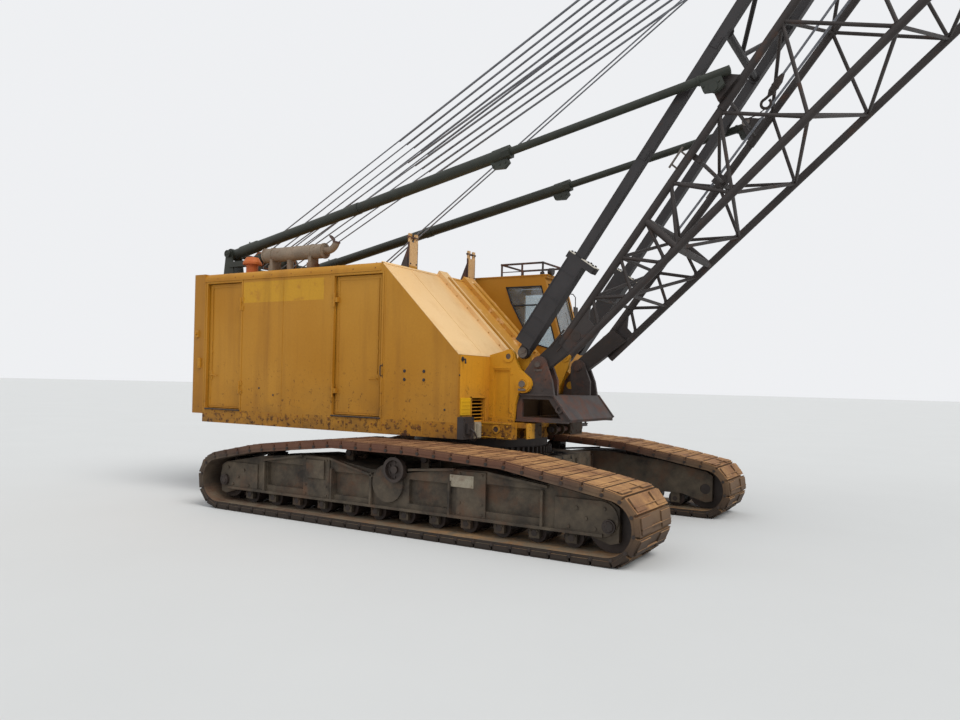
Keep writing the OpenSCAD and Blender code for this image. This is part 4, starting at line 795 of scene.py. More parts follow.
def build_doors():
    z0, z1 = DOOR_Z
    hinges = (z0 + 0.35, z1 - 0.35)
    plates = Shape()
    # way is +1 where the door lies ahead of its hinge, so the latch stands at the other edge
    for word, side, x0, x1, way in (("right_rear", -1, *REAR_DOOR, -1), ("right_front", -1, *FRONT_DOOR[-1], 1),
                                    ("left_rear", 1, *REAR_DOOR, -1), ("left_front", 1, *FRONT_DOOR[1], 1)):
        name, y = "door_" + word, side * DOOR_FACE
        skin, latch = Shape(), Shape()
        rim = sorted((y, y + side * 0.006))
        for z in (z0 + 0.03, z1 - 0.06):
            skin.box((x0 + 0.03, x1 - 0.03), rim, (z, z + 0.03))
        for x in (x0 + 0.03, x1 - 0.06):
            skin.box((x, x + 0.03), rim, (z0 + 0.06, z1 - 0.06))
        for x in (lerp(x0, x1, 0.15), lerp(x0, x1, 0.5), lerp(x0, x1, 0.85)):
            skin.box(about(x, 0.020), sorted((y - side * 0.020, y - side * 0.034)), (z0 + 0.05, z1 - 0.05))
        piece(f"{name}_ribs", skin, name, "yellow", bevel=0.0015)
        xl, z, out = (x1 - 0.075 if way > 0 else x0 + 0.075), 2.02, side * 0.030
        latch.box(about(xl, 0.022), sorted((y, y + side * 0.010)), about(z, 0.07))
        latch.pin(xl, (y, y + out), z, 0.011, 10)
        # the handle's bend: back from the latch, part of its reach, height
        bend = ((0, 1, 0.008), (0.03, 1, 0.008), (0.125, 0.9, 0.002), (0.14, 0.8, -0.012))
        latch.tube([(xl - way * a, y + out * b, z + c) for a, b, c in bend], 0.008, 8)
        for z in (2.42, 2.62):
            latch.box(about(xl, 0.014), sorted((y, y + side * 0.016)), about(z, 0.025))
        latch.rod((xl, y + side * 0.012, 2.09), (xl, y + side * 0.012, z1 - 0.05), 0.006, 8)
        for z in hinges:
            for k in (0.018, 0.046):
                latch.dome(((x0 if way > 0 else x1) + way * k, side * (HALF_W + 0.012), z), (0, side, 0), *RIVET_XS)
            for h in (-0.07, 0.07):
                for k in (0.022, 0.048):
                    hx = x0 - 0.005 if way > 0 else x1 + 0.005
                    plates.dome((hx - way * k, side * (HALF_W + 0.012), z + h), (0, side, 0), *RIVET_XS)
        piece(f"{name}_latch", latch, name, "yellow")
    piece("hinge_rivets", plates, "upper", "yellow")


def build_house_front():
    x = FRONT_X
    s = Shape()
    s.box((x, x + 0.10), (-1.700, -1.42), (1.225, 1.53))
    s.box((x + 0.10, x + 0.14), (-1.64, -1.50), (1.30, 1.44))
    s.bolts((x + 0.10,), (-1.67, -1.45), (1.26, 1.50), (1, 0, 0), *BOLT_M)
    s.tube([(x + 0.14, -1.57, 1.37), (x + 0.20, -1.57, 1.33), (x + 0.21, -1.52, 1.25), (x + 0.10, -1.40, 1.20),
            (x - 0.03, -1.32, 1.19)], 0.014, 8)
    s.tube([(x, -1.60, 2.322), (x + 0.045, -1.60, 2.322), (x + 0.050, -1.60, 2.26)], 0.014, 8)
    s.ring((x + 0.004, -1.60, 2.322), (1, 0, 0), 0.036, 0.012, 0.008, 16)
    s.dome((x, -1.67, 2.10), (1, 0, 0), 0.016, 0.010)
    piece("front_valve_box", s, "upper", "dark", bevel=0.003)
    p = Shape()
    p.box((x, x + 0.014), (-1.642, -1.382), (1.55, 1.79))
    for k in range(4):
        p.box((x + 0.012, x + 0.018), (-1.62, -1.40), (1.58 + 0.05 * k, 1.60 + 0.05 * k))
    piece("front_vent_plate", p, "upper", "lemon", bevel=0.002)
    g = Shape()
    g.box((x, x + 0.05), (-1.31, -1.15), (1.22, 1.45))
    g.rod((x + 0.05, -1.23, 1.24), (x + 0.05, -1.23, 1.43), 0.05, 16)
    piece("front_tube_guard", g, "upper", "worn")
    f = Shape()
    for y in (-1.375, -0.985):
        f.box((x, x + 0.018), (y, y + 0.020), (1.47, 1.807))
    f.box((x, x + 0.018), (-1.375, -0.965), (1.787, 1.807))
    for k in range(6):
        f.box((x - 0.03, x - 0.02), (-1.355, -1.0), (1.50 + 0.05 * k, 1.512 + 0.05 * k))
    f.bolts((x,), [-1.50 + 0.32 * k for k in range(8)], (1.90, 2.28), (1, 0, 0), *BOLT_XS)
    f.box((x, x + 0.010), (-0.80, 0.90), (2.02, 2.05))
    piece("front_wall_frames", f, "upper", "front", bevel=0.002)


def build_bed_front():
    nose_x, pin_z = 1.345, 1.34
    s, dark = Shape(), Shape()
    for side in (-1, 1):
        y = side * 1.14
        for z in (1.235, 1.432):
            s.box((0.64, 1.16), sorted((y, y + side * 0.012)), (z, z + 0.014))
        s.washer(0.922, y + side * 0.006, 1.355, 0.062, 0.040, 0.014)
        s.bolts((0.70, 1.10), (y,), (1.28, 1.40), (0, side, 0), *BOLT_M)
        s.box((1.300, 1.318), outward(side, 0.50, 0.955), (1.23, 1.445))
        s.bolts((1.318,), (side * 0.55, side * 0.90), (1.27, 1.41), (1, 0, 0), *BOLT_FLAT_M)
        dark.pin(0.922, (side * 1.139, side * 1.1425), 1.355, 0.041, 24)
    for y in (-0.20, 0.04, 0.28):
        s.washer(nose_x, y, pin_z, 0.085, 0.045, 0.05, 28)
        s.box((1.295, nose_x), about(y, 0.02), (1.26, 1.42))
    piece("bed_front_plates", s, "upper", "bright", bevel=0.002)
    dark.pin(nose_x, (-0.26, 0.34), pin_z, 0.040, 20)
    for x, y in arc(0, 0, 1.03, 0, 360, 40)[:-1]:
        dark.bolt((x, y, 1.2), (0, 0, -1), *BOLT_S)
    piece("bed_front_pins", dark, "upper", "foot")


def build_lugs():
    rings, pins, edges = Shape(), Shape(), Shape()
    for side in (-1, 1):
        y, way_out = side * LUG_Y, (0, side, 0)
        # x, distance from the middle, z, outer and inner radius, width, sides
        for x, at, z, r_out, r_in, w, n in ((0.94, LUG_Y + 0.008, 2.39, 0.085, 0.041, 0.016, 32),
                                            (1.18, LUG_Y + 0.010, 2.00, 0.108, 0.066, 0.020, 36),
                                            (MAST_FOOT.x, 0.635, MAST_FOOT.z, 0.082, 0.046, 0.012, 28),
                                            (1.083, 0.695, 2.376, 0.040, 0.018, 0.012, 20),
                                            (1.089, 0.695, 2.188, 0.040, 0.018, 0.012, 20)):
            rings.washer(x, side * at, z, r_out, r_in, w, n)
        rings.box((0.70, 0.98), sorted((y, y + side * 0.010)), (2.215, 2.235))
        for x, z in ((0.68, 1.55), (0.68, 2.05), (1.0, 1.60), (1.0, 2.14)):
            rings.bolt((x, y, z), way_out, *BOLT_M)
        pins.pin(1.18, (y + side * 0.028, y + side * 0.046), 2.00, 0.052, 24, 0.046)
        pins.box((1.125, 1.235), sorted((y + side * 0.008, y + side * 0.040)), (1.905, 1.935))
        pins.pin(0.94, (y - side * 0.030, y + side * 0.006), 2.39, 0.042, 16)
        pins.pin(BOOM_FOOT.x, (side * 0.825, side * 0.846), BOOM_FOOT.z, 0.046, 24, 0.040)
        pins.box((1.33, 1.45), outward(side, 0.80, 0.812), (2.185, 2.215))
        pins.bolts((1.35, 1.43), (side * 0.812,), (2.20,), way_out, *BOLT_S)
        for (x0, z0), (x1, z1) in (((1.06, 1.48), (1.88, 1.48)), ((1.90, 1.52), (1.64, 1.85)),
                                   ((1.10, 1.85), (1.64, 1.85))):
            edges.strip((x0, z0), (x1, z1), 0.012, outward(side, 0.79, 0.835))
        edges.washer(1.735, side * 0.812, 1.66, 0.060, 0.030, 0.024)
        for x, z in ((1.14, 1.94), (1.30, 1.96), (1.46, 1.92), (1.50, 2.08)):
            edges.bolt((x, side * 0.80, z), way_out, *BOLT_FLAT_L)
    piece("lug_rings", rings, "upper", "bright", bevel=0.0015)
    piece("foot_pins", pins, "upper", "pin", bevel=0.0015)
    piece("foot_frame_edges", edges, "upper", "foot", bevel=0.002)


def build_roof():
    s = Shape()
    for x in (-4.0, -3.2, -2.4, -1.65, -0.9):
        by_slot = -4.0 < x < -1.7
        for y in ((-1.62, 0.20), (0.64, 1.62)) if by_slot else ((-1.62, 0.98),):
            s.box(about(x, 0.010), y, (ROOF_Z, ROOF_Z + 0.005))
    for y in (-1.45, 1.45):
        for x in steps(WALL_X0 + 0.12, -0.85, 0.18):
            s.dome((x, y, ROOF_Z), (0, 0, 1), *RIVET)
    # rim of the rope slot and the hatch on the other side
    for y in (0.235, 0.600):
        s.box((-4.015, -1.735), (y, y + 0.015), (ROOF_Z, ROOF_Z + 0.045))
    for x in (-4.015, -1.750):
        s.box((x, x + 0.015), (0.235, 0.615), (ROOF_Z, ROOF_Z + 0.045))
    s.box((-3.30, -2.50), (-0.95, -0.15), (ROOF_Z, ROOF_Z + 0.030))
    s.box((-3.27, -2.53), (-0.92, -0.18), (ROOF_Z + 0.028, ROOF_Z + 0.040))
    for y in (-0.75, -0.35):
        s.tube([(-2.60, y + k, ROOF_Z + h) for k, h in ((-0.06, 0.038), (-0.06, 0.075), (0.06, 0.075), (0.06, 0.038))],
               0.007, 8)
    for x in (-3.1, -2.7):
        s.rod((x - 0.05, -0.145, ROOF_Z + 0.03), (x + 0.05, -0.145, ROOF_Z + 0.03), 0.012, 10)
    piece("roof_seams", s, "upper", "yellow", bevel=0.0015)
    r = Shape()
    for x in (-3.9, -1.85):
        for y in (0.26, 0.59):
            r.box(about(x, 0.05), about(y, 0.008), (ROOF_Z - 0.06, ROOF_Z + 0.04))
        r.pin(x, (0.255, 0.595), ROOF_Z - 0.02, 0.030, 16)
    for y in (-0.92, 0.78):
        r.bolts((SLOPE_X0,), about(y, 0.075), (4.18, 3.80), (1, 0, 0), *BOLT_M)
        for k in (-0.115, 0.103):
            r.box((SLOPE_X0 - 0.03, SLOPE_X0), (y + k, y + k + 0.012), (ROOF_Z, ROOF_Z + 0.40))
            r.prism([(SLOPE_X0 - 0.17, ROOF_Z), (SLOPE_X0 - 0.02, ROOF_Z), (SLOPE_X0 - 0.02, ROOF_Z + 0.34)],
                    (y + k, y + k + 0.012))
        r.pin(SLOPE_X0 - 0.015, about(y, 0.135), 4.205, 0.018, 12)
    piece("roof_rollers", r, "upper", "foot", bevel=0.0015)


def build_slope():
    drop, run = ROOF_Z - SLOPE_Z1, FRONT_X - SLOPE_X0
    tilt, length = math.atan2(drop, run), math.hypot(run, drop)
    at = Matrix.Translation((SLOPE_X0, 0, ROOF_Z)) @ Matrix.Rotation(tilt, 4, "Y")
    s = Shape()
    # edge strips and seams: x and y in the sheet's own plane, then their under and upper faces
    for x, y, z in (((0.02, length - 0.06), (-1.700, -1.655), (-0.002, 0.008)),
                    ((0.02, length - 0.06), (0.955, 1.0), (-0.002, 0.008)),
                    ((0.0, 0.045), (-1.70, 1.0), (-0.002, 0.008)),
                    ((length - 0.075, length), (-1.70, 1.0), (0.0, 0.008)),
                    ((0.05, length - 0.08), (-1.028, -1.012), (0, 0.005)),
                    ((0.05, length - 0.08), (0.092, 0.108), (0, 0.005))):
        s.box(x, y, z, at)
    for y in (-1.678, 0.978):
        for i in range(11):
            s.dome(at @ Vector((0.08 + i * 0.172, y, 0.007)), (math.sin(tilt), 0, math.cos(tilt)), 0.011, 0.007)
    piece("slope_edges", s, "upper", "pale", bevel=0.0015)
    r = Shape()
    for y0, y1 in ((-0.27, -0.03), (0.47, 0.80)):
        for y, way in ((y0, -1), (y1, 1)):
            for i in range(6):
                x = lerp(SLOPE_X0 + 0.10, FRONT_X - 0.08, (i + 0.5) / 6)
                r.bolt((x, y, slope_z(x) + 0.030), (0, way, 0), *BOLT_S)
        ym = (y0 + y1) / 2
        r.box((0.14, length - 0.12), about(ym, 0.03), (0.045, 0.085), at)
    piece("slope_rib_caps", r, "upper", "yellow", bevel=0.003)


def build_muffler():
    (x0, x1), y, z = MUFFLER_X, MUFFLER_Y, MUFFLER_Z
    saddles = (-3.25, -2.40)
    s = Shape()
    for x in (x0 + 0.012, *saddles, x1 - 0.012):
        s.ring((x, y, z), (1, 0, 0), 0.124, 0.112, 0.024, 32)
    for x, dz in ((-3.327, 0.115), (-3.095, 0.02), (-2.761, 0.08), (-2.30, 0.05)):
        dy = -math.sqrt(max(0.0, 0.115 ** 2 - dz * dz))
        s.bolt((x, y + dy, z + dz), (0, dy - 1e-6, dz), 0.014, 0.010)
    for x in saddles:
        for k in (-1, 1):
            s.box(about(x, 0.045), about(y + k * 0.09, 0.012), (ROOF_Z, ROOF_Z + 0.12))
            s.box(about(x, 0.055), about(y + k * 0.12, 0.035), (ROOF_Z, ROOF_Z + 0.012))
            s.bolts(about(x, 0.035), (y + k * 0.13,), (ROOF_Z + 0.012,), (0, 0, 1), *BOLT_S)
    piece("muffler_bands", s, "upper", "muffler")
    cap = Shape()
    cap.rod((x0, y, z), (x0 - 0.012, y, z), 0.112, 32, 0.095)
    cap.rod((x0 - 0.010, y, z), (x0 - 0.022, y, z), 0.060, 24, 0.050)
    piece("muffler_end_cap", cap, "upper", "yellow")
    disc = Shape()
    # from and to above the ground, radius, sides and radius at the end
    for low, high, r, n, r2 in ((ROOF_Z, 3.90, 0.10, 24, None), (3.90, 3.935, 0.155, 32, None),
                                (3.935, 4.02, 0.155, 32, 0.10), (4.02, 4.035, 0.030, 16, None)):
        disc.rod((-3.78, y, low), (-3.78, y, high), r, n, r2)
    piece("air_cleaner_cap", disc, "upper", "orange")
    # the pipe's mouth after its bend, and the rain flap that is hinged behind it
    bend_r, bend = 0.18, math.radians(75)
    flap = Shape()
    tip = Vector((-2.09 + bend_r * math.sin(bend), y, z + bend_r - bend_r * math.cos(bend)))
    d = Vector((math.cos(bend), 0, math.sin(bend)))
    flap.ring(tip - d * 0.012, d, 0.062, 0.050, 0.024, 24)
    flap.rod(tip, tip + d * 0.004, 0.052, 24)
    hinge = tip - Vector((0.060, 0, -0.016))
    flap.pin(hinge.x, about(y, 0.03), hinge.z, 0.008, 10)
    up = Vector((-0.62, 0, 0.78)).normalized()
    flap.rod(hinge + up * 0.058, hinge + up * 0.058 + Vector((0.78, 0, 0.62)) * 0.005, 0.058, 24)
    flap.box((-0.006, 0.006), (-0.006, 0.006), (-0.02, 0.09), Matrix.Translation(hinge) @
             Matrix.Rotation(math.atan2(up.x, up.z), 4, "Y"))
    piece("exhaust_flap", flap, "upper", "foot")


def build_gantry():
    px, pz = STOP_PIVOT.x, STOP_PIVOT.z
    s = Shape()
    s.box((-4.58, -4.00), (-1.16, -1.06), (3.93, 4.03))
    s.box((-4.08, -4.00), (-1.16, -1.06), (ROOF_Z, 3.95))
    s.box((-4.16, -3.92), (-1.19, -1.03), (ROOF_Z, ROOF_Z + 0.014))
    for side in (-1, 1):
        for edge in (1.18, 0.865):
            s.washer(px, side * edge, pz, 0.066, 0.044, 0.012)
        s.box(about(px, 0.055), outward(side, 1.182, 1.192), about(pz, 0.012))
        s.bolts(about(px, 0.035), (side * 1.192,), (pz,), (0, side, 0), 0.008, 0.006)
        s.bolts((px - 0.10, px + 0.12), (side * 0.90, side * 1.14), (ROOF_Z + 0.03,), (0, 0, 1), *BOLT_FLAT_L)
    # guards over the sheaves keep the ropes in their grooves
    for y in (-0.30, -0.10, 0.10, 0.30):
        s.washer(px, y, pz, 0.075, 0.044, 0.06)
    for dx, dz in ((0.03, -0.20), (-0.16, -0.12)):
        s.pin(px + dx, (-0.53, 0.53), pz + dz, 0.014, 10)
    for y in (-0.535, 0.523):
        s.prism([(px - 0.13, pz - 0.30), (px + 0.05, pz - 0.30), (px + 0.05, pz - 0.17), (px - 0.02, pz - 0.05),
                 (px - 0.18, pz - 0.08)], (y, y + 0.012))
    piece("gantry_guards", s, "upper", "green", bevel=0.002)
    g = Shape()
    for y in ROPE_SHEAVES_Y:
        for k in (-0.0225, 0.0225):
            g.washer(px, y + k, pz, 0.1498, 0.120, 0.006, 36)
        for x, z in arc(px, pz, 0.10, 0, 360, 6)[:-1]:
            g.dome((x, y - 0.025, z), (0, -1, 0), 0.010, 0.005)
    piece("gantry_sheave_rims", g, "upper", "rusty")


def build_counterweight():
    x = REAR_X
    s = Shape()
    for z in (1.95, 2.85):
        s.box((x - 0.006, x), (-1.60, 1.60), about(z, 0.012))
    for y in (-1.15, 0.0, 1.15):
        s.box((x - 0.005, x), about(y, 0.010), (1.40, 3.66))
    s.bolts((x,), (-1.35, 1.35), (1.55, 3.50), (-1, 0, 0), 0.030, 0.024)
    for y, z in (((-0.42, 0.42), (2.22, 2.28)), ((-0.42, 0.42), (2.64, 2.70)), ((-0.42, -0.37), (2.22, 2.70)),
                 ((0.37, 0.42), (2.22, 2.70))):
        s.box((x - 0.030, x), y, z)
    for y in (-0.60, 0.60):
        s.box((-4.73, -4.63), about(y, 0.012), (ROOF_Z - 0.01, ROOF_Z + 0.09))
        s.washer(-4.68, y, ROOF_Z + 0.085, 0.055, 0.026, 0.024)
    piece("counterweight_seams", s, "upper", "yellow", bevel=0.003)
    lamps = Shape()
    for y in (-1.42, 1.42):
        lamps.box((x - 0.020, x), about(y, 0.10), (1.60, 1.72))
        for k in (-0.045, 0.045):
            lamps.rod((x - 0.020, y + k, 1.66), (x - 0.045, y + k, 1.66), 0.040, 20, 0.034)
    piece("tail_lamps", lamps, "upper", "lamp", bevel=0.002)
    hook = Shape()
    hook.tube([(x, -0.03, 1.52), (x - 0.07, -0.03, 1.52), (x - 0.07, -0.03, 1.46), (x - 0.055, -0.03, 1.44)], 0.016, 10)
    hook.box((x - 0.012, x), (-0.09, 0.09), (1.44, 1.58))
    hook.bolts((x - 0.012,), (-0.07, 0.07), (1.46, 1.56), (-1, 0, 0), *BOLT_S)
    piece("tow_hook", hook, "upper", "dark", bevel=0.002)


def build_machinery():
    e = Shape()
    for x in (-3.30, -3.05, -2.80, -2.55, -2.30):
        for side in (-1, 1):
            e.box(about(x, 0.09), outward(side, 0.55, 0.60), (1.95, 2.40))
            e.pin(x, (side * 0.50, side * 0.66), 2.43, 0.040, 14)
    e.rod((-3.45, 0.0, 2.62), (-2.10, 0.0, 2.62), 0.085, 20)
    e.box((-3.40, -2.15), (-0.30, 0.30), (2.55, 2.60))
    for x in (-3.30, -2.90, -2.50, -2.20):
        e.tube([(x, 0.0, 2.62), (x, 0.25, 2.66), (x, 0.42, 2.60), (x, 0.45, 2.53)], 0.030, 10)
    e.rod((-3.50, 0, 2.0), (-3.56, 0, 2.0), 0.34, 32, 0.30)
    e.rod((-2.0, 0, 1.85), (-1.90, 0, 1.85), 0.30, 32, 0.24)
    e.box((-3.95, -3.80), (-0.60, 0.60), (1.45, 2.75))
    for k in range(22):
        e.box((-3.802, -3.792), (-0.56, 0.56), (1.52 + k * 0.054, 1.535 + k * 0.054))
    for k in range(6):
        turn = Matrix.Rotation(math.radians(60 * k), 4, "X") @ Matrix.Rotation(0.5, 4, "Z")
        e.box((-0.012, 0.012), (-0.075, 0.075), (0.08, 0.44), Matrix.Translation((-3.66, 0, 2.10)) @ turn)
    e.rod((-3.50, 0, 2.10), (-3.72, 0, 2.10), 0.09, 20)
    piece("engine_details", e, "upper", "frame", bevel=0.004)
    rope, turns, pitch, per_turn = Shape(), 28, 0.0236, 16
    for y in (-0.45, 0.45):
        coil = arc(DRUM_X, DRUM_Z, 0.244, 0, 360 * turns, turns * per_turn)
        rope.tube([(x, y - 0.33 + pitch * i / per_turn, z) for i, (x, z) in enumerate(coil)], 0.0115, 6)
    piece("drum_ropes", rope, "upper", "rope")
    d = Shape()
    for y, way in ((-0.835, 1), (-0.065, -1), (0.065, 1), (0.835, -1)):
        d.washer(DRUM_X, y, DRUM_Z, 0.300, 0.270, 0.008, 36)
        d.bolt_circle((DRUM_X, y, DRUM_Z), way, 0.285, 0.010, 0.004, n=12)
    for y in (-0.945, 0.945):
        d.washer(DRUM_X, y, DRUM_Z, 0.11, 0.055, 0.03)
    piece("drum_rims", d, "upper", "roller")


def cushion(shape, centre, size, crown, edge=0.035, n=14, matrix=None):
    """A stuffed pad: a rounded box whose upper face swells, with the sides drawn in a little at the seam."""
    half = [v / 2 for v in size]
    verts, index, faces = [], {}, []

    def vert(u, v, w):
        key = (round(u, 4), round(v, 4), round(w, 4))
        if key not in index:
            p = Vector((u * half[0], v * half[1], w * half[2]))
            core = Vector([max(-h + edge, min(h - edge, c)) for h, c in zip(half, p)])
            d = p - core
            if d.length > 1e-9:
                p = core + d.normalized() * edge
            swell = max(0.0, (1 - u * u) * (1 - v * v)) ** 0.6
            if w > 0.5:
                p.z += crown * swell
            p.z += 0.0025 * math.sin(9 * u + 4 * v) * math.cos(7 * v - 3 * u) * swell
            index[key] = len(verts)
            verts.append(centre + p)
        return index[key]

    grid = [2 * i / n - 1 for i in range(n + 1)]
    for axis in range(3):
        for end in (-1.0, 1.0):
            for i in range(n):
                for j in range(n):
                    quad = []
                    for a, b in ((i, j), (i + 1, j), (i + 1, j + 1), (i, j + 1)):
                        c = [grid[a], grid[b]]
                        c.insert(axis, end)
                        quad.append(vert(*c))
                    good = (axis != 1) == (end > 0)
                    faces.append(quad if good else quad[::-1])
    shape.add(verts, faces, matrix)


def seam(shape, centre, size, z, matrix=Matrix()):
    """Piping that runs round a pad at a height."""
    c = 0.035
    x, y = size[0] / 2 + 0.001 - c, size[1] / 2 + 0.001 - c
    pts = []
    for sx, sy, turn in ((1, 1, 0), (-1, 1, 90), (-1, -1, 180), (1, -1, 270)):
        pts += [matrix @ (centre + Vector((px, py, z))) for px, py in arc(sx * x, sy * y, c, turn, turn + 90, 5)]
    shape.tube(pts, 0.006, 6, closed=True)


def build_seat(mid, floor):
    """The two soft pads are pieces of their own and stand for the plain solid."""
    centre, size = Vector((-0.29, mid, floor + 0.495)), (0.46, 0.46, 0.13)
    pad = Shape()
    cushion(pad, centre, size, 0.028)
    for z in (0.028, -0.040):
        seam(pad, centre, size, z)
    seat = piece("seat_cushion", pad, "upper", "seat", sharp=60)
    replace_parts(seat, "operator_seat")
    back, centre, size = Shape(), Vector((0, 0, 0)), (0.66, 0.46, 0.12)
    lean = Matrix.Translation((-0.555, mid, floor + 0.80)) @ Matrix.Rotation(math.radians(82), 4, "Y")
    cushion(back, centre, size, 0.024, matrix=lean)
    seam(back, centre, size, 0.026, matrix=lean)
    piece("seat_back", back, "upper", "seat", sharp=60)
    stand = Shape()
    stand.rod((-0.29, mid, floor), (-0.29, mid, floor + 0.40), 0.065, 20)
    stand.rod((-0.29, mid, floor), (-0.29, mid, floor + 0.025), 0.17, 24)
    stand.box((-0.50, -0.09), about(mid, 0.19), (floor + 0.40, floor + 0.432))
    stand.box((-0.60, -0.575), about(mid, 0.15), (floor + 0.42, floor + 0.95))
    for k in (-1, 1):
        y = mid + k * 0.26
        stand.tube([(-0.52, y, floor + 0.52), (-0.52, y, floor + 0.70), (-0.20, y, floor + 0.70)], 0.018, 10)
        stand.box((-0.55, -0.49), sorted((mid + k * 0.15, mid + k * 0.28)), (floor + 0.50, floor + 0.53))
    piece("seat_stand", stand, "upper", "dark", bevel=0.004)


def build_controls(mid, floor):
    desk = Shape()
    for y in (mid + i * 0.09 for i in range(-2, 3)):
        desk.rod((0.40, y, 2.485), (0.398, y, 2.525), 0.020, 14, 0.022)
        desk.rod((0.398, y, 2.525), (0.397, y, 2.545), 0.022, 14, 0.010)
        desk.rod((0.440, y, 2.205), (0.436, y, 2.235), 0.026, 14, 0.016)
    for k in (-0.15, 0.0, 0.15):
        desk.rod((0.330, mid + k, 2.10), (0.318, mid + k, 2.10), 0.042, 24)
    for y in (mid - 0.16, mid - 0.02, mid + 0.12):
        desk.box((0.10, 0.31), (y, y + 0.075), (floor + 0.03, floor + 0.045))
        desk.rod((0.31, y + 0.0375, floor + 0.035), (0.335, y + 0.0375, floor + 0.12), 0.009, 8)
    desk.rod((0.315, mid, 2.10), (0.314, mid, 2.10), 0.030, 24)
    piece("cab_controls", desk, "upper", "dark", bevel=0.001)


def frame_of(shape, x, y, z, width):
    """Four flat bars round an opening in a wall that looks to the left."""
    for bar_x, bar_z in ((x, (z[0], z[0] + width)), (x, (z[1] - width, z[1])), ((x[0], x[0] + width), z),
                         ((x[1] - width, x[1]), z)):
        shape.box(bar_x, y, bar_z)


def windscreen(t):
    """The sloping front of the cab, (x, z), from 0 at its sill to 1 at the roof."""
    return lerp(0.95, 0.56, t), lerp(2.45, CAB_Z1, t)


def build_cab_fittings(mid):
    right, left = CAB_Y
    w = Shape()
    # wiper
    x, z = windscreen(0.10)
    w.rod((x + 0.03, mid, z), (x - 0.01, mid, z), 0.022, 14)
    d = Vector((0.56 - 0.95, 0, CAB_Z1 - 2.45)).normalized()
    a = Vector((x + 0.028, mid, z))
    w.rod(a, a + d * 0.42 + Vector((0, 0.22, 0)), 0.007, 8)
    w.rod(a + d * 0.22 + Vector((-0.008, 0.20, 0)), a + d * 0.72 + Vector((-0.008, 0.24, 0)), 0.006, 8)
    # mirror, grab handles, roof vent and lamps
    w.tube([(0.60, left - 0.02, 3.60), (0.66, left + 0.08, 3.60), (0.68, left + 0.14, 3.55), (0.68, left + 0.15, 3.35)],
           0.009, 8)
    w.box((0.672, 0.690), (left + 0.08, left + 0.24), (3.10, 3.38))
    w.tube([(0.56, left, 1.75), (0.56, left + 0.05, 1.78), (0.56, left + 0.05, 2.52), (0.56, left, 2.55)], 0.012, 8)
    w.tube([(x, right + 0.12, z) for x, z in ((0.97, 1.75), (1.01, 1.78), (1.01, 2.20), (0.95, 2.23))], 0.011, 8)
    w.rod((0.30, mid, CAB_Z1 + 0.055), (0.30, mid, CAB_Z1 + 0.085), 0.055, 20)
    w.rod((0.30, mid, CAB_Z1 + 0.085), (0.30, mid, CAB_Z1 + 0.165), 0.045, 20, 0.036)
    for y in (right + 0.15, left - 0.15):
        w.box((0.545, 0.60), about(y, 0.012), (CAB_Z1 + 0.05, CAB_Z1 + 0.11))
        w.rod((0.56, y, CAB_Z1 + 0.12), (0.64, y, CAB_Z1 + 0.11), 0.055, 20, 0.065)
    piece("cab_fittings", w, "upper", "dark", bevel=0.001)
    rail, r = Shape(), 0.0175
    rear, front, foot_z, rail_z = -0.284, 0.50, CAB_Z1 + 0.05, CAB_Z1 + 0.26
    for y in (right + 0.04, left - 0.04):
        rail.rod((rear - 0.018, y, rail_z), (front + 0.018, y, rail_z), r, 12)
        for x in (rear, 0.11, front):
            rail.rod((x, y, foot_z), (x, y, rail_z), r, 12)
            rail.rod((x, y, foot_z), (x, y, foot_z + 0.008), 0.034, 16)
        rail.rod((rear, y, CAB_Z1 + 0.13), (front, y, CAB_Z1 + 0.13), 0.008, 8)
    for x in (rear, front):
        rail.pin(x, (right + 0.022, left - 0.022), rail_z, r, 12)
    piece("cab_rail_sleeves", rail, "upper", "foot")


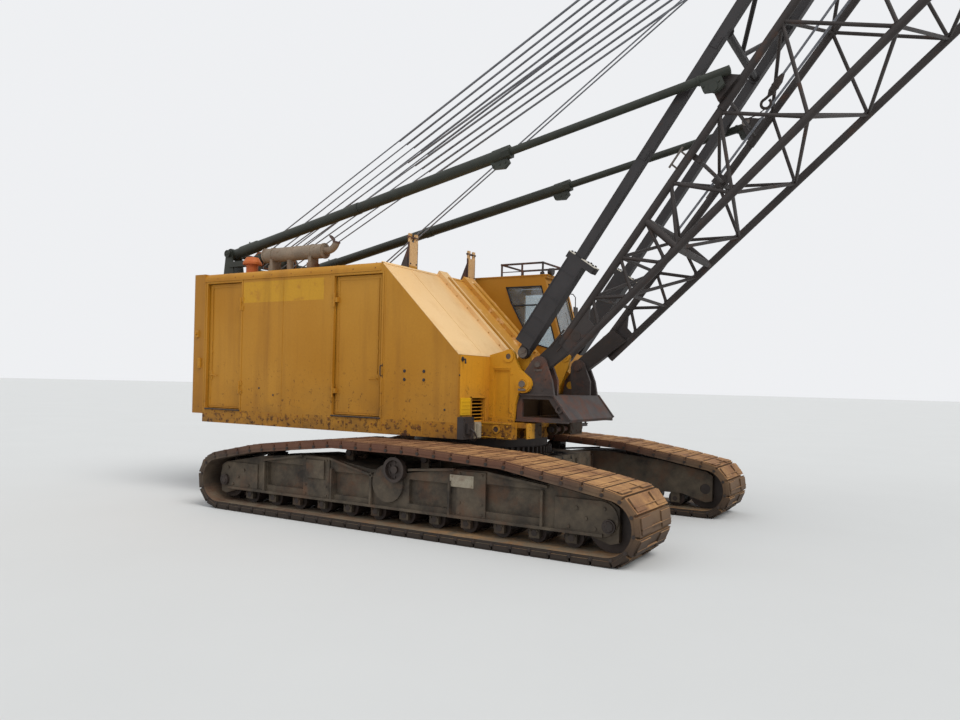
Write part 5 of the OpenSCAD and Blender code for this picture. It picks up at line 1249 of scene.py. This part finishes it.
def build_cab():
    right, left = CAB_Y
    mid, floor = (right + left) / 2, 1.51
    build_seat(mid, floor)
    build_controls(mid, floor)
    # gaskets round the fixed windows and the door's opening
    f = Shape()
    window = [(-0.16, 3.64), (0.50, 3.64), (0.82, 2.56), (0.33, 2.70), (-0.06, 3.375)]
    for (xa, za), (xb, zb) in zip(window, window[1:] + window[:1]):
        e = Vector((xb - xa, 0, zb - za)).normalized() * 0.010
        f.strip((xa - e.x, za - e.z), (xb + e.x, zb + e.z), 0.010, (right - 0.010, right + 0.004))
    f.box((-0.02, 0.60), (right - 0.006, right + 0.018), (3.318, 3.342))
    foot, top = Vector((0.919, 0, 2.556)), Vector((0.591, 0, 3.674))
    d = (top - foot).normalized()
    ahead = Vector((d.z, 0, -d.x)) * 0.010
    for y in (right + 0.074, left - 0.092):
        f.prism([(p.x, p.z) for p in (foot, top, top + ahead, foot + ahead)], (y, y + 0.018))
    for t in (0.075, 0.920):
        x, z = windscreen(t)
        f.pin(x + 0.004, (right + 0.074, left - 0.074), z, 0.012, 8)
    low, high = (-0.345, 1.515), (0.495, 3.715)
    for x, z in (((low[0] - 0.015, low[0]), (low[1], high[1])), ((high[0], high[0] + 0.015), (low[1], high[1])),
                 ((low[0] - 0.015, high[0] + 0.015), (high[1], high[1] + 0.015))):
        f.box(x, (left, left + 0.007), z)
    piece("cab_gaskets", f, "upper", "rubber")
    c = Shape()
    c.box((-0.815, 0.615), (right - 0.012, left + 0.012), (CAB_Z1 + 0.036, CAB_Z1 + 0.056))
    for x in (-0.74, -0.30, 0.12, 0.52):
        for y, side in ((right, -1), (left, 1)):
            c.dome((x, y, CAB_Z1 + 0.018), (0, side, 0), *RIVET_S)
    for x in (-0.78, -0.40):
        c.box(about(x, 0.006), (left, left + 0.004), (1.50, 3.76))
    for k in range(6):
        c.dome((CAB_X0, right + 0.09 + 0.13 * k, 3.70), (-1, 0, 0), *RIVET_S)
        c.dome((0.95, right + 0.09 + 0.13 * k, 2.38), (1, 0, 0), *RIVET_S)
    c.box((0.95, 0.956), (right + 0.05, left - 0.05), (1.98, 2.00))
    piece("cab_trim", c, "upper", "yellow", bevel=0.002)
    build_cab_fittings(mid)
    h = Shape()
    h.box((0.395, 0.455), (left, left + 0.012), (2.28, 2.44))
    h.pin(0.425, (left, left + 0.045), 2.36, 0.011, 10)
    h.tube([(0.425, left + 0.045, 2.36), (0.37, left + 0.045, 2.36), (0.30, left + 0.040, 2.355)], 0.009, 8)
    frame_of(h, (-0.25, 0.42), (left, left + 0.008), (2.54, 3.62), 0.020)
    piece("cab_door_frame", h, "cab_door", "rubber")
    r = Shape()
    frame_of(r, (-0.27, 0.40), (left, left + 0.005), (1.72, 2.116), 0.016)
    piece("cab_door_ribs", r, "cab_door", "yellow", bevel=0.0015)


def build_catwalk():
    s = Shape()
    for i in range(36):
        x = -0.585 + i * 0.0421
        s.box(about(x, 0.004), (HALF_W + 0.155, 2.145), (1.328, 1.338))
    for y in (1.87, 2.00, 2.135):
        s.box((-0.60, 0.90), about(y, 0.004), (1.329, 1.340))
    piece("catwalk_grating", s, "upper", "dark")
    r = Shape()
    # the rails leave the cab door its swing, from x -0.48 to 0.49
    rear, front = -0.56, 0.87
    for x in (rear, 0.60, front):
        r.rod((x, 2.13, 1.33), (x, 2.13, 2.33), 0.019, 12)
        r.box(about(x, 0.04), (2.09, 2.15), (1.328, 1.342))
    for z in (1.83, 2.33):
        r.rod((0.58, 2.13, z), (0.89, 2.13, z), 0.017, 12)
        for x in (rear, front):
            r.pin(x, (CAB_Y[1], 2.145), z, 0.017, 12)
    piece("catwalk_rails", r, "upper", "dark")


def build_mast():
    collar, trim, pins = Shape(), Shape(), Shape()
    inner, outer = LEG_Y
    for side in (-1, 1):
        y0, y1 = outward(side, inner, outer)
        for n in ((-0.297, -0.060), (0.060, 0.167)):
            collar.box((1.563, 1.573), (y0 - 0.004, y1 + 0.004), n, MAST)
        for n in (-0.24, -0.16, 0.13):
            for y in ((y0 + y1) / 2 - 0.05, (y0 + y1) / 2 + 0.05):
                trim.rod((1.572, y, n), (1.590, y, n), 0.015, 6, matrix=MAST)
        # the heavy foot of the leg has welded strips along its edges
        for n in (-0.135, 0.117):
            trim.box((0.20, 1.46), outward(side, outer - 0.002, outer + 0.006), (n, n + 0.018), MAST)
        for s in (0.30, 0.55, 0.90, 1.30):
            trim.box((s, s + 0.012), outward(side, outer, outer + 0.006), (-0.117, 0.117), MAST)
        for s in (3.05, 4.60, 6.40, 7.85):
            trim.box((s, s + 0.16), outward(side, 0.925, 0.935), (-0.060, 0.060), MAST)
            for ds in (0.03, 0.08, 0.13):
                for n in (-0.035, 0.035):
                    trim.bolt(MAST @ Vector((s + ds, side * 0.935, n)), (0, side, 0), *BOLT_XS)
        for s, r in ((CROSS_S, 0.085), (CROSS_TOP_S, 0.070), (KNEE_S, 0.060)):
            trim.pin(s, (side * 0.79, side * 0.806), 0, r, 24, matrix=MAST)
        pins.washer(0, side * 0.795, 0, 0.075, 0.046, 0.014, matrix=MAST)
        pins.rod(MAST @ Vector((0, side * 0.792, 0)), MAST @ Vector((0, side * 0.803, 0)), 0.050, 20)
        pins.box((-0.060, 0.060), outward(side, 0.802, 0.812), (-0.014, 0.014), raised(MAST_FOOT, 20))
        # head pin caps and keeper plates
        for r, a, b in ((0.085, 0.925, 0.942), (0.060, 0.942, 0.962)):
            pins.pin(MAST_L, (side * a, side * b), 0, r, 24, matrix=MAST)
        for k in (-0.055, 0.055):
            pins.bolt(MAST @ Vector((MAST_L + k, side * 0.942, 0.0)), (0, side, 0), *BOLT_S)
    piece("mast_collar", collar, "mast", "whitish", bevel=0.003)
    piece("mast_strips", trim, "mast", "mast")
    piece("mast_pins", pins, "mast", "pin")
    guard = Shape()
    for y in ROPE_SHEAVES_Y:
        for k in (-0.05, 0.05):
            for e in (-0.017, 0.017):
                guard.washer(MAST_L, y + k + e, 0, 0.2998, 0.262, 0.005, 40, MAST)
            guard.washer(MAST_L, y + k, 0, 0.10, 0.052, 0.046, matrix=MAST)
    for a in (150, 205):
        c, d = 0.325 * math.cos(math.radians(a)), 0.325 * math.sin(math.radians(a))
        guard.pin(MAST_L + c, (-0.62, 0.62), d, 0.012, 10, matrix=MAST)
        for y in (-0.60, 0.60):
            guard.rod((MAST_L + c, y, d), (MAST_L - 0.22, y, math.copysign(0.080, d)), 0.012, 8, matrix=MAST)
    piece("mast_sheave_rims", guard, "mast", "roller")
    bosses = Shape()
    for y in (-0.6, -0.3, -0.1, 0.1, 0.3, 0.6):
        for k in (-0.019, 0.019):
            bosses.washer(MAST_L, y + k, 0, 0.078, 0.052, 0.008, matrix=MAST)
    piece("mast_head_bosses", bosses, "mast", "mast")


# Boom.
def corner(k, s):
    """The four chords in the order that the lacing goes round them."""
    side, up = ((-1, 1), (-1, -1), (1, -1), (1, 1))[k % 4]
    return chord(s, side, up)


def weld(shape, p, q, r):
    """Beads where a lacing tube runs into the chords at both its ends."""
    for a, b in ((p, q), (q, p)):
        d = (b - a).normalized()
        shape.rod(a + d * CHORD_R * 0.9, a + d * (CHORD_R + 0.016), r + 0.009, 12, r + 0.001, matrix=BOOM)


def lacing_pairs(stations, first):
    for i in range(len(stations) - 1):
        for k in range(4):
            if (k + i + first) % 2 == 0:
                for j in (1, 3):
                    yield corner(k, stations[i]), corner(k + j, stations[i + 1])


def build_butt():
    """The butt section again, with the short webs and the lacing that starts right behind the foot."""
    s = Shape()
    for k in range(4):
        s.rod(corner(k, 0.42), corner(k, BUTT_L), CHORD_R, 24, matrix=BOOM)
    pairs = list(lacing_pairs(BUTT_STATIONS, 1))
    for side in (-1, 1):
        for a, b in ((1.20, 0.97), (1.20, 1.55), (1.85, 1.60), (1.85, 2.16), (2.42, 2.20)):
            pairs.append((chord(a, side, 1), chord(b, side, -1)))
    for a, b, up in ((1.20, 1.85, 1), (1.85, 2.42, 1), (1.57, 2.18, -1)):
        pairs += [(chord(a, -1, up), chord(b, 1, up)), (chord(a, -1, up), chord(a, 1, up))]
    for p, q in pairs:
        s.rod(p, q, LACE_R, 12, matrix=BOOM)
        weld(s, p, q, LACE_R)
    for at, r in ((BUTT_STATIONS[0], 0.048), (BUTT_L - 0.06, 0.034)):
        for k in range(4):
            s.rod(corner(k, at), corner(k + 1, at), r, 16, matrix=BOOM)
    for side in (-1, 1):
        up, low, up0, low0 = chord(1.16, side, 1), chord(0.93, side, -1), chord(0.42, side, 1), chord(0.42, side, -1)
        web = [(low0.x, low0.z), (low.x, low.z), ((low.x + up.x) / 2 - 0.10, (low.z + up.z) / 2), (up.x, up.z),
               (up0.x, up0.z)]
        s.prism(web, outward(side, 0.72, 0.76), BOOM)
        e0, e1 = chord(0.80, side, -1), chord(0.80, side, 1)
        s.prism(arc(0, 0, 0.115, 90, 270, 16) + [(e0.x, e0.z), (e1.x, e1.z)], outward(side, 0.625, 0.735), BOOM)
    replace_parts(piece("boom_butt_frame", s, "boom", "dark"), "boom_butt")
    h = Shape()
    for side in (-1, 1):
        y = side * 0.762
        h.washer(0.66, y, -BOOM_DROP, 0.070, 0.048, 0.012, 28, BOOM)
        h.pin(0.66, (y - side * 0.006, y + side * 0.001), -BOOM_DROP, 0.049, 24, matrix=BOOM)
        for n in (-0.06, 0.06):
            h.box((0.30, 0.60), outward(side, 0.736, 0.746), about(n, 0.012), BOOM)
    piece("butt_web_rings", h, "boom", "roller")


def build_joints():
    """Lugs, pins and collars where two boom sections meet."""
    g = Shape()
    for stations in (INSERT_STATIONS, TOP_STATIONS):
        for p, q in lacing_pairs(stations, 0):
            weld(g, p, q, LACE_R)
    piece("lacing_welds", g, "boom", "dark")
    lugs, pins = Shape(), Shape()
    for s, side, up in [(s, side, up) for s in (BUTT_L, HEAD_START) for side in (-1, 1) for up in (-1, 1)]:
        c = chord(s, side, up)
        d = (chord(s + 0.3, side, up) - chord(s - 0.3, side, up)).normalized()
        for k in (-1, 1):
            y = c.y + k * (CHORD_R + 0.002)
            lugs.prism([(c.x - 0.17, c.z - 0.050), (c.x + 0.17, c.z - 0.050), (c.x + 0.20, c.z),
                        (c.x + 0.17, c.z + 0.050), (c.x - 0.17, c.z + 0.050), (c.x - 0.20, c.z)],
                       sorted((y, y + k * 0.020)), BOOM)
        pins.pin(c.x, about(c.y, 0.088), c.z, 0.034, matrix=BOOM)
        pins.pin(c.x, (c.y + side * 0.088, c.y + side * 0.100), c.z, 0.044, matrix=BOOM)
        clip = c - Vector((0, side * 0.080, 0))
        pins.rod(clip - Vector((0, 0, 0.045)), clip + Vector((0, 0, 0.045)), 0.006, 6, matrix=BOOM)
        for e in (-0.30, 0.30):
            q = chord(s + e, side, up)
            lugs.rod(q - d * 0.02, q + d * 0.02, CHORD_R + 0.012, 24, matrix=BOOM)
    piece("boom_joint_lugs", lugs, "boom", "dark")
    piece("boom_joint_pins", pins, "boom", "pin")


def build_head():
    """Plate edges, pin keepers and guard bars at the boom's head, and the sheaves' ribs."""
    h = Shape()
    for side in (-1, 1):
        # place along the boom, from and to across, height, radius, sides
        for s, a, c, n, r, sides in ((BOOM_L, 0.380, 0.442, 0, 0.105, 28), (BOOM_L, 0.442, 0.458, 0, 0.072, 24),
                                     (BOOM_L - 0.06, 0.618, 0.640, PENDANT_UP, 0.060, 20)):
            h.pin(s, (side * a, side * c), n, r, sides, matrix=BOOM)
        for s, n in arc(BOOM_L, 0, 0.088, 0, 360, 6)[:-1]:
            h.pin(s, (side * 0.441, side * 0.450), n, 0.010, 6, matrix=BOOM)
        h.washer(BOOM_L + 0.15, side * 0.430, -0.25, 0.060, 0.036, 0.012, matrix=BOOM)
        h.box((HEAD_S - 0.20, HEAD_S - 0.17), outward(side, 0.425, 0.434), (-0.30, 0.30), BOOM)
        h.box((HEAD_S + 0.20, HEAD_S + 0.22), outward(side, 0.425, 0.434), (-0.32, 0.24), BOOM)
    for s, n in ((0.205, -0.330), (-0.10, -0.372)):
        h.pin(BOOM_L + s, (-0.410, 0.410), n, 0.018, 10, matrix=BOOM)
    piece("boom_head_fittings", h, "boom", "dark", bevel=0.0015)
    ribs = Shape()
    for y in (-0.28, -0.14, 0.0, 0.14, 0.28):
        for k in (-1, 1):
            ribs.washer(BOOM_L, y + k * 0.030, 0, 0.30, 0.275, 0.011, 40, BOOM)
            for s, n in arc(BOOM_L, 0, 0.16, 0, 360, 6)[:-1]:
                ribs.pin(s, (y + k * 0.034, y + k * 0.037), n, 0.035, 16, matrix=BOOM)
    piece("head_sheave_ribs", ribs, "head_sheaves", "roller")


def build_boom():
    build_joints()
    # brackets that hold the backstops' front pins
    b, w = Shape(), Shape()
    for side in (-1, 1):
        top = chord(4.24, side, 1).z + 0.03
        for a in (0.846, 0.918):
            b.prism([(4.06, top), (4.44, top), (4.33, 0.560), (4.29, 0.615), (4.19, 0.615), (4.15, 0.560)],
                    outward(side, a, a + 0.026), BOOM)
        b.rod(chord(4.02, side, 1), chord(4.46, side, 1), CHORD_R + 0.010, 24, matrix=BOOM)
        # place along the boom, from and to across, height, radius, sides
        for s, a, c, n, r, sides in ((4.24, 0.846, 0.95, 0.587, 0.040, 20), (4.24, 0.834, 0.846, 0.587, 0.056, 20),
                                     (0, 0.610, 0.625, 0, 0.082, 24), (0, 0.735, 0.748, 0, 0.082, 24)):
            w.pin(s, (side * a, side * c), n, r, sides, matrix=BOOM)
        # rod clamped beside the upper chord
        w.rod((3.107, side * 0.90, 0.311), (3.404, side * 0.90, 0.344), 0.014, 10, matrix=BOOM)
        for s, n in ((3.16, 0.317), (3.35, 0.338)):
            w.rod(chord(s, side, 1), (s, side * 0.90, n), 0.012, 8, matrix=BOOM)
    piece("boom_brackets", b, "boom", "dark", bevel=0.002)
    piece("boom_pins", w, "boom", "pin")
    # rope rollers across the top of the lattice
    r, f = Shape(), Shape()
    for s in (HEAD_START - 3.0, HEAD_START + 3.0):
        top = chord(s, 1, 1)
        n = top.z + CHORD_R + 0.075
        r.pin(s, (-0.38, 0.38), n, 0.050, matrix=BOOM)
        f.pin(s, (-0.46, 0.46), n, 0.016, 10, matrix=BOOM)
        for k in (-1, 1):
            f.box(about(s, 0.035), outward(k, 0.43, 0.445), (n - 0.13, n + 0.04), BOOM)
        f.pin(s, (-top.y, top.y), n - 0.13, 0.028, 10, matrix=BOOM)
    piece("boom_rope_rollers", r, "boom", "roller")
    piece("boom_roller_brackets", f, "boom", "dark")
    build_head()


def build_boom_lines():
    """The lines that lie along the boom: one to the tied-up hook, two from the foot, all over a roller to the head."""
    rope, roller_s, end_s = Shape(), 10.72, BOOM_L - 0.30
    for y in (-0.022, 0.022):
        rope.tube([BOOM @ Vector(p) for p in ((4.86, y, 0.286), (roller_s, y, 0.82), (end_s, y, 0.22))], 0.009, 8)
    for y in (0.42, 0.47):
        rope.tube([BOOM @ Vector(p) for p in ((2.42, y, 0.155), (3.40, y, 0.220), (roller_s, y * 0.8, 0.70),
                                              (end_s, 0.28, 0.20))], 0.009, 8)
    piece("boom_lines", rope, "boom", "rope")
    b = Shape()
    # the hook's weight in three stages: (s, height, radius)
    stages = ((4.56, 0.246, 0.018, 16), (4.62, 0.252, 0.046, 20), (4.78, 0.274, 0.052, 20), (4.88, 0.288, 0.018, 0))
    for (s0, n0, r0, sides), (s1, n1, r1, _) in zip(stages, stages[1:]):
        b.rod((s0, 0, n0), (s1, 0, n1), r0, sides, r1, matrix=BOOM)
    b.ring(BOOM @ Vector((4.70, 0, 0.263)), BOOM.to_3x3() @ Vector((1, 0, 0.137)), 0.054, 0.044, 0.02, 24)
    hook = [(4.57, 0.246), (4.53, 0.252)] + arc(4.47, 0.205, 0.062, 60, 360, 15)
    b.tube([BOOM @ Vector((s, 0, n)) for s, n in hook], 0.019, 10)
    piece("tied_hook", b, "boom", "roller", sharp=45)
    t = Shape()
    low = chord(4.16, 1, 1)
    t.pin(low.x, (-low.y, low.y), low.z, LACE_R, 12, matrix=BOOM)
    t.tube([BOOM @ Vector(p) for p in ((4.44, 0, 0.160), (4.30, 0, 0.200), (4.16, 0, low.z - 0.02))], 0.008, 8)
    # the deflector on the cross tube behind the foot
    c = chord(3.40, 1, 1)
    t.pin(3.40, (-c.y, c.y), 0.10, 0.026, 12, matrix=BOOM)
    for side in (-1, 1):
        t.box((3.36, 3.44), outward(side, c.y - 0.05, c.y - 0.035), (0.07, c.z), BOOM)
    for y in (0.40, 0.445, 0.49):
        t.box((3.32, 3.48), about(y, 0.006), (0.06, 0.24), BOOM)
    for y in (0.42, 0.47):
        t.pin(3.40, about(y, 0.016), 0.125, 0.080, 24, matrix=BOOM)
    piece("boom_deflector", t, "boom", "dark")


def build_backstops():
    for side, word in SIDES:
        m = raised(STOP_PIVOT + Vector((0, side * STOP_Y, 0)), STOP_DEG)
        t = Shape()
        # rings round the tube: from, to, radius, sides and radius at the end
        end = STOP_OUTER_L
        for a, b, r, n, r2 in ((0.22, 0.62, 0.098, 28, None), (0.62, 0.66, 0.098, 28, 0.086),
                               (2.78, 2.92, 0.093, 28, None), (end - 0.10, end + 0.012, 0.102, 8, None),
                               (end - 0.26, end - 0.10, 0.094, 28, None)):
            t.rod((a, 0, 0), (b, 0, 0), r, n, r2, matrix=m)
        for k in (-1, 1):
            t.pin(0, (k * 0.030, k * 0.084), 0, 0.101, 28, matrix=m)
            for s in (-0.285, -0.18, -0.085):
                t.pin(end + s, (k * 0.035, k * 0.046), -0.135, 0.016, 6, matrix=m)
        t.rod((0.42, 0, 0.090), (0.42, 0, 0.125), 0.012, 6, matrix=m)
        piece("backstop_collars_" + word, t, "backstop_tube_" + word, "green")
        r = Shape()
        for k in (-1, 1):
            for s in (-0.12, -0.02, 0.07):
                r.pin(STOP_L + s, (k * 0.035, k * 0.046), -0.10, 0.016, 6, matrix=m)
            r.pin(STOP_L, (k * 0.035, k * 0.050), -0.15, 0.055, matrix=m)
        r.rod((STOP_L + 0.215, 0, 0), (STOP_L + 0.226, 0, 0), 0.056, 24, 0.030, matrix=m)
        r.ring(m @ Vector((STOP_L - 0.16, 0, 0)), m.to_3x3() @ Vector((1, 0, 0)), 0.064, 0.054, 0.03, 24)
        piece("backstop_rod_lugs_" + word, r, "backstop_rod_" + word, "green")


def build_ropes():
    head = MAST @ Vector((MAST_L, 0, 0))
    for name, y in (("a", 0.35), ("b", 0.45)):
        line = Shape()
        low, high = Vector((-4.14, y, 2.86)), Vector((head.x - 0.02, y, head.z + 0.19))
        line.rod(low, high, 0.012, 10)
        made = piece("lead_line_" + name, line, None, "rope")
        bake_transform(made)
    loads = Shape()
    tip = BOOM @ Vector((BOOM_L - 0.05, 0, 0.34))
    for y in (-0.35, 0.05, 0.35):
        loads.rod((head.x + 0.12, y, head.z + 0.28), (tip.x - 0.2, y * 0.4, tip.z - 0.05), 0.011, 8)
    piece("load_lines", loads, "pendants", "rope")
    s = Shape()
    run = (BOOM @ Vector((BOOM_L - 0.06, 0, PENDANT_UP))) - head
    m, length = raised(head, math.degrees(math.atan2(run.z, run.x))), math.hypot(run.x, run.z)
    for y in (-PENDANT_Y, PENDANT_Y):
        # sockets at both ends and the links between: from, to, radius, sides and radius at the end
        spans = [(0.50, 0.80, 0.046, 20, 0.026), (length - 0.40, length - 0.10, 0.026, 20, 0.046)]
        for t in (length * 0.35, length * 0.68):
            spans += [(t - 0.22, t + 0.22, 0.030, 16, None), (t - 0.05, t + 0.05, 0.046, 16, None)]
        for a, b, r, n, r2 in spans:
            s.rod((a, y, 0), (b, y, 0), r, n, r2, matrix=m)
        s.pin(0.33, (y - 0.060, y + 0.045), 0, 0.034, matrix=m)
        s.pin(0.33, (y - 0.068, y - 0.058), 0, 0.046, matrix=m)
        for k in (-1, 1):
            s.box((0.26, 0.52), sorted((y + k * 0.021, y + k * 0.030)), (-0.042, 0.042), m)
    piece("pendant_sockets", s, "pendants", "pin")


# Camera, light and floor.
SKY_SEEN, SKY_LIGHT, SKY_STRENGTH = (0.86, 0.87, 0.89, 1), (0.90, 0.95, 1.0, 1), 0.62
FLOOR_R, FLOOR_DARK, FLOOR_PALE = 260.0, (0.625, 0.625, 0.615), (0.64, 0.64, 0.63)
# name, direction, strength, softness in degrees, colour
SUNS = (("sky_front", (-0.62, 0.18, -0.76), 1.9, 35, (1.0, 0.98, 0.95)),
        ("sky_near", (0.25, 0.80, -0.55), 0.55, 60, (0.93, 0.96, 1.0)))


def make_camera():
    """The photograph's camera: 2 m up, level, turned a little about its own axis."""
    place, view, roll = Vector((6.32, -10.59, 2.0)), Vector((-0.515, 0.857, 0)).normalized(), math.radians(1.43)
    width_px, focal_px, drop_px = 960, 776, 23
    right, up = view.cross(Vector((0, 0, 1))), Vector((0, 0, 1))
    x = right * math.cos(roll) + up * math.sin(roll)
    y = -right * math.sin(roll) + up * math.cos(roll)
    cam = bpy.data.cameras.new("camera")
    cam.sensor_width = 36.0
    cam.lens = focal_px / width_px * cam.sensor_width
    cam.shift_y = drop_px / width_px
    cam.clip_end = 400.0
    obj = bpy.data.objects.new("camera", cam)
    obj.matrix_world = Matrix.Translation(place) @ Matrix((x, y, -view)).transposed().to_4x4()
    bpy.context.scene.collection.objects.link(obj)
    bpy.context.scene.camera = obj


def make_world():
    """A plain pale sky: one colour where the camera sees it, also in reflections, and a softer one that lights."""
    scene = bpy.context.scene
    scene.view_settings.view_transform = "Standard"
    world = bpy.data.worlds.new("world")
    scene.world = world
    world.use_nodes = True
    tree = world.node_tree
    tree.nodes.clear()
    out = tree.nodes.new("ShaderNodeOutputWorld")
    seen, light = tree.nodes.new("ShaderNodeBackground"), tree.nodes.new("ShaderNodeBackground")
    seen.inputs["Color"].default_value = SKY_SEEN
    light.inputs["Color"].default_value, light.inputs["Strength"].default_value = SKY_LIGHT, SKY_STRENGTH
    path, mix = tree.nodes.new("ShaderNodeLightPath"), tree.nodes.new("ShaderNodeMixShader")
    add = tree.nodes.new("ShaderNodeMath")
    add.operation = "ADD"
    more = tree.nodes.new("ShaderNodeMath")
    more.operation, more.use_clamp = "ADD", True
    tree.links.new(path.outputs["Is Camera Ray"], add.inputs[0])
    tree.links.new(path.outputs["Is Glossy Ray"], add.inputs[1])
    tree.links.new(add.outputs[0], more.inputs[0])
    tree.links.new(path.outputs["Is Transmission Ray"], more.inputs[1])
    tree.links.new(more.outputs[0], mix.inputs[0])
    tree.links.new(light.outputs[0], mix.inputs[1])
    tree.links.new(seen.outputs[0], mix.inputs[2])
    tree.links.new(mix.outputs[0], out.inputs["Surface"])


def make_sun(name, direction, strength, angle, colour):
    lamp = bpy.data.lights.new(name, "SUN")
    lamp.energy, lamp.angle, lamp.color = strength, math.radians(angle), colour
    obj = bpy.data.objects.new(name, lamp)
    obj.rotation_mode = "QUATERNION"
    obj.rotation_quaternion = Vector(direction).to_track_quat("-Z", "Y")
    bpy.context.scene.collection.objects.link(obj)


def make_floor():
    shape = Shape()
    shape.rod((0, 0, -0.03), (0, 0, -0.002), FLOOR_R, 96)
    n = Nodes("pale_floor")
    n.colour(n.mix(n.ramp(n.noise(0.4, 5.0), 0.3, 0.7), FLOOR_DARK, FLOOR_PALE))
    n.bsdf.inputs["Roughness"].default_value = 0.9
    mesh = bpy.data.meshes.new("floor")
    mesh.from_pydata([tuple(v) for v in shape.verts], [], shape.faces)
    mesh.materials.append(n.mat)
    obj = bpy.data.objects.new("floor", mesh)
    bpy.context.scene.collection.objects.link(obj)


make_camera()
make_world()
for sun in SUNS:
    make_sun(*sun)
make_floor()
finish_nodes()
for build in (build_tracks, build_frames, build_carbody, build_house_sides, build_side_fittings, build_doors,
              build_house_front, build_bed_front, build_lugs, build_roof, build_slope, build_muffler, build_gantry,
              build_counterweight, build_machinery, build_cab, build_catwalk, build_mast, build_butt, build_boom,
              build_boom_lines, build_backstops, build_ropes):
    build()
